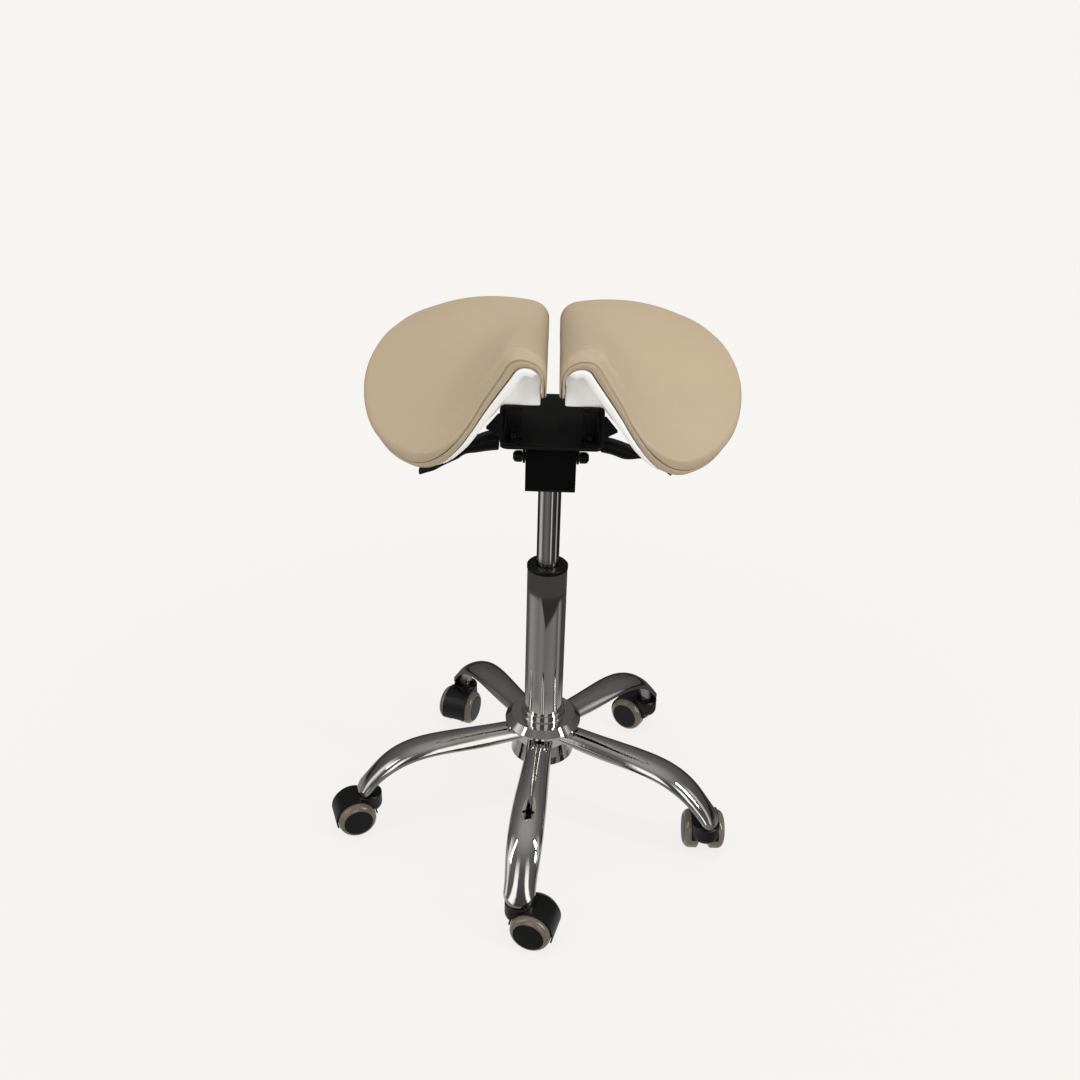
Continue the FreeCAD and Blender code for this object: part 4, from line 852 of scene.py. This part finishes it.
# A grip is a loft: each ring is half width * cos(a)^(2/n) by half height * sin(a)^(2/n), signs kept. It
# grows from a flat root with a small round, and ends in half an oval.
def makeGrip(name):
    grip = grips[name]
    lowest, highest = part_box(grip["rod"])
    rodHeight = 0.5 * (lowest.z + highest.z) / mm
    rodBack = 0.5 * (lowest.y + highest.y) / mm
    table = np.array(grip["stations"])
    root, tip = table[0, 0], table[-1, 0]
    edge = gripForm["rootRound"]
    out = np.linspace(root + edge, tip, gripForm["rows"])
    middle, tall, wide = (throughStations(table[:, 0], table[:, column], out) for column in (1, 2, 3))
    fall = np.array([out[-1] - out[-2], middle[-1] - middle[-2]])
    fall /= np.linalg.norm(fall)
    rings = []
    for share in (0.0, 0.5, 1.0):
        rings.append((root, middle[0], (tall[0] - edge) * share, (wide[0] - edge) * share))
    for turn in np.linspace(0.0, math.pi / 2, gripForm["rootRows"])[1:-1]:
        less = edge * (1.0 - math.sin(turn))
        rings.append((root + edge * (1.0 - math.cos(turn)), middle[0], tall[0] - less, wide[0] - less))
    rings += list(zip(out, middle, tall, wide))
    for turn in np.linspace(0.0, math.pi / 2, gripForm["tipRows"])[1:]:
        ahead = gripForm["tipRound"] * math.sin(turn)
        shrink = math.cos(turn) ** gripForm["tipPower"]
        place = (out[-1] + fall[0] * ahead, middle[-1] + fall[1] * ahead)
        rings.append((*place, tall[-1] * shrink, wide[-1] * shrink))
    rings = np.array(rings)
    angle = np.linspace(0.0, 2.0 * math.pi, gripForm["around"], endpoint=False)
    power = 2.0 / gripForm["square"]
    acrossRing = np.sign(np.cos(angle)) * np.abs(np.cos(angle)) ** power
    upRing = np.sign(np.sin(angle)) * np.abs(np.sin(angle)) ** power
    x = rings[:, 0, None] + 0 * angle
    y = rodBack + rings[:, 3, None] * acrossRing
    z = rodHeight + rings[:, 1, None] + rings[:, 2, None] * upRing
    points = np.stack([x * grip["side"], y, z], -1) * mm
    piece = linkMesh(name, points, grip["rod"], materials["gripPlastic"])
    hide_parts(grip["node"])


for name in grips:
    makeGrip(name)
print("grips made")

# Stage: floor, sky, lamps and the camera of the photograph. Distances in metres.
stage = {
    "floorRadius": 9.0,
    "floorColour": linear(216, 214, 212),
    "floorRoughness": 0.55,
    # the camera sees the sky's colour on the floor: its share near the foot, and from where to where it
    # grows whole
    "floorKeep": 0.90,
    "floorFades": (0.35, 0.95),
    "skyColour": linear(247, 245, 241),
    "skyLight": (1.0, 0.99, 0.975, 1.0),
    "skyStrength": 0.72,
    # what metal reflects on the floor: level at each bearing in degrees, from the camera's side towards
    # the right, first near the foot and then far out
    "nearBands": [
        (-180, 0.09), (-120, 0.13), (-96, 0.44), (-72, 0.40), (-45, 0.27), (-20, 0.34), (0, 0.24),
        (25, 0.28), (50, 0.31), (72, 0.15), (82, 0.42), (92, 0.30), (100, 0.09), (180, 0.07),
    ],
    "farBands": [
        (-180, 0.03), (-112, 0.03), (-92, 0.80), (-72, 0.65), (-58, 0.10), (-20, 0.24), (8, 0.13),
        (20, 0.05), (24, 0.90), (31, 0.80), (36, 0.06), (76, 0.03), (82, 0.70), (90, 0.60), (98, 0.02),
        (180, 0.03),
    ],
    "farFrom": (0.70, 0.74),
    # the dark ring between them: its inner edge at each bearing, its soft width and its level
    "ringEdge": [(-180, 0.60), (-30, 0.59), (0, 0.485), (45, 0.53), (80, 0.57), (180, 0.60)],
    "ringSoft": 0.02,
    "ringLevel": 0.05,
    # a plain level past the ring
    "bandFrom": (0.594, 0.606),
    "bandLevel": 0.085,
    # the pale round under the hub
    "underHub": 0.62,
    "hubEnds": (0.20, 0.36),
    # what metal reflects above the floor: level at each bearing, fading between two heights of the
    # direction, and by the height alone
    "skyBands": [
        (-180, 0.03), (-100, 0.05), (-90, 0.70), (-75, 0.60), (-62, 0.06), (-38, 0.05), (-33, 0.95),
        (-18, 0.95), (-13, 0.02), (7, 0.02), (12, 0.95), (26, 0.95), (32, 0.05), (78, 0.05), (84, 0.60),
        (96, 0.05), (180, 0.03),
    ],
    "bandStrength": 1.8,
    "bandsFade": (0.45, 0.8),
    "overhead": [(0.0, 0.03), (0.2, 0.04), (0.4, 0.07), (0.6, 0.12), (0.8, 0.27), (1.0, 0.50)],
}


# One where a ray is of any of these kinds
def lightPath(tree, labels):
    path = tree.nodes.new("ShaderNodeLightPath")
    seen = path.outputs[labels[0]]
    for label in labels[1:]:
        seen = combine(tree, "MAXIMUM", seen, path.outputs[label])
    return seen


# A level between stops (place, level)
def ramp(tree, value, stops):
    node = tree.nodes.new("ShaderNodeValToRGB")
    tree.links.new(value, node.inputs["Fac"])
    elements = node.color_ramp.elements
    while len(elements) < len(stops):
        elements.new(0.5)
    for element, (place, level) in zip(elements, stops):
        element.position = place
        element.color = (level, level, level, 1.0)
    return node.outputs["Color"]


# first + share * (second - first)
def blend(tree, share, first, second):
    change = combine(tree, "MULTIPLY", share, combine(tree, "SUBTRACT", second, first))
    return combine(tree, "ADD", first, change)


# The level of bands at the bearing of a place or direction
def bandLevel(tree, vector, bands):
    parts = tree.nodes.new("ShaderNodeSeparateXYZ")
    tree.links.new(vector, parts.inputs[0])
    ahead = combine(tree, "MULTIPLY", parts.outputs["Y"], -1.0)
    bearing = combine(tree, "ARCTAN2", parts.outputs["X"], ahead)
    turn = combine(tree, "ADD", combine(tree, "DIVIDE", bearing, 2.0 * math.pi), 0.5)
    return ramp(tree, turn, [((degrees + 180.0) / 360.0, level) for degrees, level in stage[bands]])


# Chooses between two shaders by a share
def mixShaders(tree, share, first, second):
    mix = tree.nodes.new("ShaderNodeMixShader")
    tree.links.new(share, mix.inputs["Fac"])
    tree.links.new(first.outputs[0], mix.inputs[1])
    tree.links.new(second.outputs[0], mix.inputs[2])
    return mix


# What metal sees on the floor at a place, by its distance from the middle
def floorLevel(tree, place, out):
    pastEdge = combine(tree, "SUBTRACT", out, bandLevel(tree, place, "ringEdge"))
    inRing = remap(tree, pastEdge, 0.0, stage["ringSoft"], 0.0, 1.0)
    level = blend(tree, inRing, bandLevel(tree, place, "nearBands"), stage["ringLevel"])
    level = blend(tree, remap(tree, out, *stage["bandFrom"], 0.0, 1.0), level, stage["bandLevel"])
    isFar = remap(tree, out, *stage["farFrom"], 0.0, 1.0)
    level = blend(tree, isFar, level, bandLevel(tree, place, "farBands"))
    return combine(tree, "MAXIMUM", level, remap(tree, out, *stage["hubEnds"], stage["underHub"], 0.0))


# The camera sees a pale sweep, metal sees dark ground with bright bands, and everything else a real floor
def makeFloor():
    mesh = bpy.data.meshes.new("floor")
    floor = bpy.data.objects.new("floor", mesh)
    bpy.context.scene.collection.objects.link(floor)
    turn = np.linspace(0.0, 2.0 * math.pi, 64, endpoint=False)
    ring = np.stack([np.cos(turn), np.sin(turn), 0 * turn], -1) * stage["floorRadius"]
    mesh.from_pydata(ring.tolist(), [], [list(range(64))])
    material, tree, shader, place = newMaterial("paleFloor")
    shader.inputs["Base Color"].default_value = stage["floorColour"]
    shader.inputs["Roughness"].default_value = stage["floorRoughness"]
    glow = tree.nodes.new("ShaderNodeEmission")
    glow.inputs["Color"].default_value = stage["skyColour"]
    reach = tree.nodes.new("ShaderNodeVectorMath")
    reach.operation = "LENGTH"
    tree.links.new(place, reach.inputs[0])
    out = reach.outputs["Value"]
    pale = remap(tree, out, *stage["floorFades"], stage["floorKeep"], 1.0)
    share = combine(tree, "MULTIPLY", pale, lightPath(tree, ["Is Camera Ray"]))
    seen = mixShaders(tree, share, shader, glow)
    mirrored = tree.nodes.new("ShaderNodeEmission")
    tree.links.new(floorLevel(tree, place, out), mirrored.inputs["Color"])
    whole = mixShaders(tree, lightPath(tree, ["Is Glossy Ray"]), seen, mirrored)
    tree.links.new(whole.outputs[0], tree.nodes["Material Output"].inputs["Surface"])
    mesh.materials.append(material)


# The sky lights plainly, shows the pale backdrop to the camera, and gives metal a studio to reflect:
# dark with bright upright bands, and paler overhead
def makeSky():
    world = bpy.data.worlds.new("studio")
    bpy.context.scene.world = world
    world.use_nodes = True
    tree = world.node_tree
    base = tree.nodes["Background"]
    base.inputs["Color"].default_value = stage["skyLight"]
    base.inputs["Strength"].default_value = stage["skyStrength"]
    shown = tree.nodes.new("ShaderNodeBackground")
    shown.inputs["Color"].default_value = stage["skyColour"]
    studio = tree.nodes.new("ShaderNodeBackground")
    direction = tree.nodes.new("ShaderNodeTexCoord").outputs["Generated"]
    split = tree.nodes.new("ShaderNodeSeparateXYZ")
    tree.links.new(direction, split.inputs[0])
    low = remap(tree, split.outputs["Z"], *stage["bandsFade"], stage["bandStrength"], 0.0)
    bands = combine(tree, "MULTIPLY", bandLevel(tree, direction, "skyBands"), low)
    level = combine(tree, "ADD", bands, ramp(tree, split.outputs["Z"], stage["overhead"]))
    tree.links.new(level, studio.inputs["Color"])
    mirrored = mixShaders(tree, lightPath(tree, ["Is Glossy Ray", "Is Transmission Ray"]), base, studio)
    whole = mixShaders(tree, lightPath(tree, ["Is Camera Ray"]), mirrored, shown)
    tree.links.new(whole.outputs[0], tree.nodes["World Output"].inputs["Surface"])


# Each lamp: place, the point that it faces, its two sides in metres, its power in watts, and whether
# metal shows it
lamps = {
    "overhead": ((0.1, 0.2, 2.6), (0.0, 0.0, 0.4), (1.8, 1.4), 20.0, False),
    "left": ((-1.9, -0.9, 1.9), (0.0, 0.0, 0.45), (0.25, 1.8), 9.5, True),
    "right": ((2.0, -0.9, 1.6), (0.0, 0.0, 0.45), (0.25, 1.8), 26.0, True),
    "front": ((0.4, -2.4, 1.3), (0.0, 0.0, 0.5), (1.6, 1.2), 5.0, False),
    "lowLeft": ((-2.4, -0.9, 0.7), (0.0, 0.0, 0.55), (1.2, 1.0), 9.0, False),
}


def makeLamps():
    for name, (place, aim, sides, power, mirrored) in lamps.items():
        light = bpy.data.lights.new(name, "AREA")
        light.shape = "RECTANGLE"
        light.size, light.size_y = sides
        light.energy = power
        lamp = bpy.data.objects.new(name, light)
        bpy.context.scene.collection.objects.link(lamp)
        lamp.visible_glossy = mirrored
        lamp.location = place
        lamp.rotation_euler = (Vector(aim) - Vector(place)).to_track_quat("-Z", "Y").to_euler()


# The photograph's camera: its frame, focal length and lens axis in pixels, its sensor's width in
# millimetres, its place and furthest sight in metres, and its turn in degrees
camera = {
    "frame": 1080.0,
    "focal": 1065.68,
    "axis": (546.0, 533.23),
    "sensor": 36.0,
    "place": (-0.0031, -1.15843, 1.01541),
    "farthest": 60.0,
    "lookDown": 27.169,
    "lean": 1.699,
}


def makeCamera():
    lens = bpy.data.cameras.new("photoCamera")
    lens.sensor_width = camera["sensor"]
    lens.lens = lens.sensor_width * camera["focal"] / camera["frame"]
    lens.shift_x = (0.5 * camera["frame"] - camera["axis"][0]) / camera["frame"]
    lens.shift_y = (camera["axis"][1] - 0.5 * camera["frame"]) / camera["frame"]
    lens.clip_end = camera["farthest"]
    eye = bpy.data.objects.new("photoCamera", lens)
    bpy.context.scene.collection.objects.link(eye)
    tilt = Matrix.Rotation(math.radians(90.0 - camera["lookDown"]), 4, "X")
    lean = Matrix.Rotation(math.radians(camera["lean"]), 4, "Z")
    eye.matrix_world = Matrix.Translation(camera["place"]) @ tilt @ lean
    bpy.context.scene.camera = eye


makeFloor()
makeSky()
makeLamps()
makeCamera()
bpy.context.scene.view_settings.view_transform = "Standard"
print("stage set")
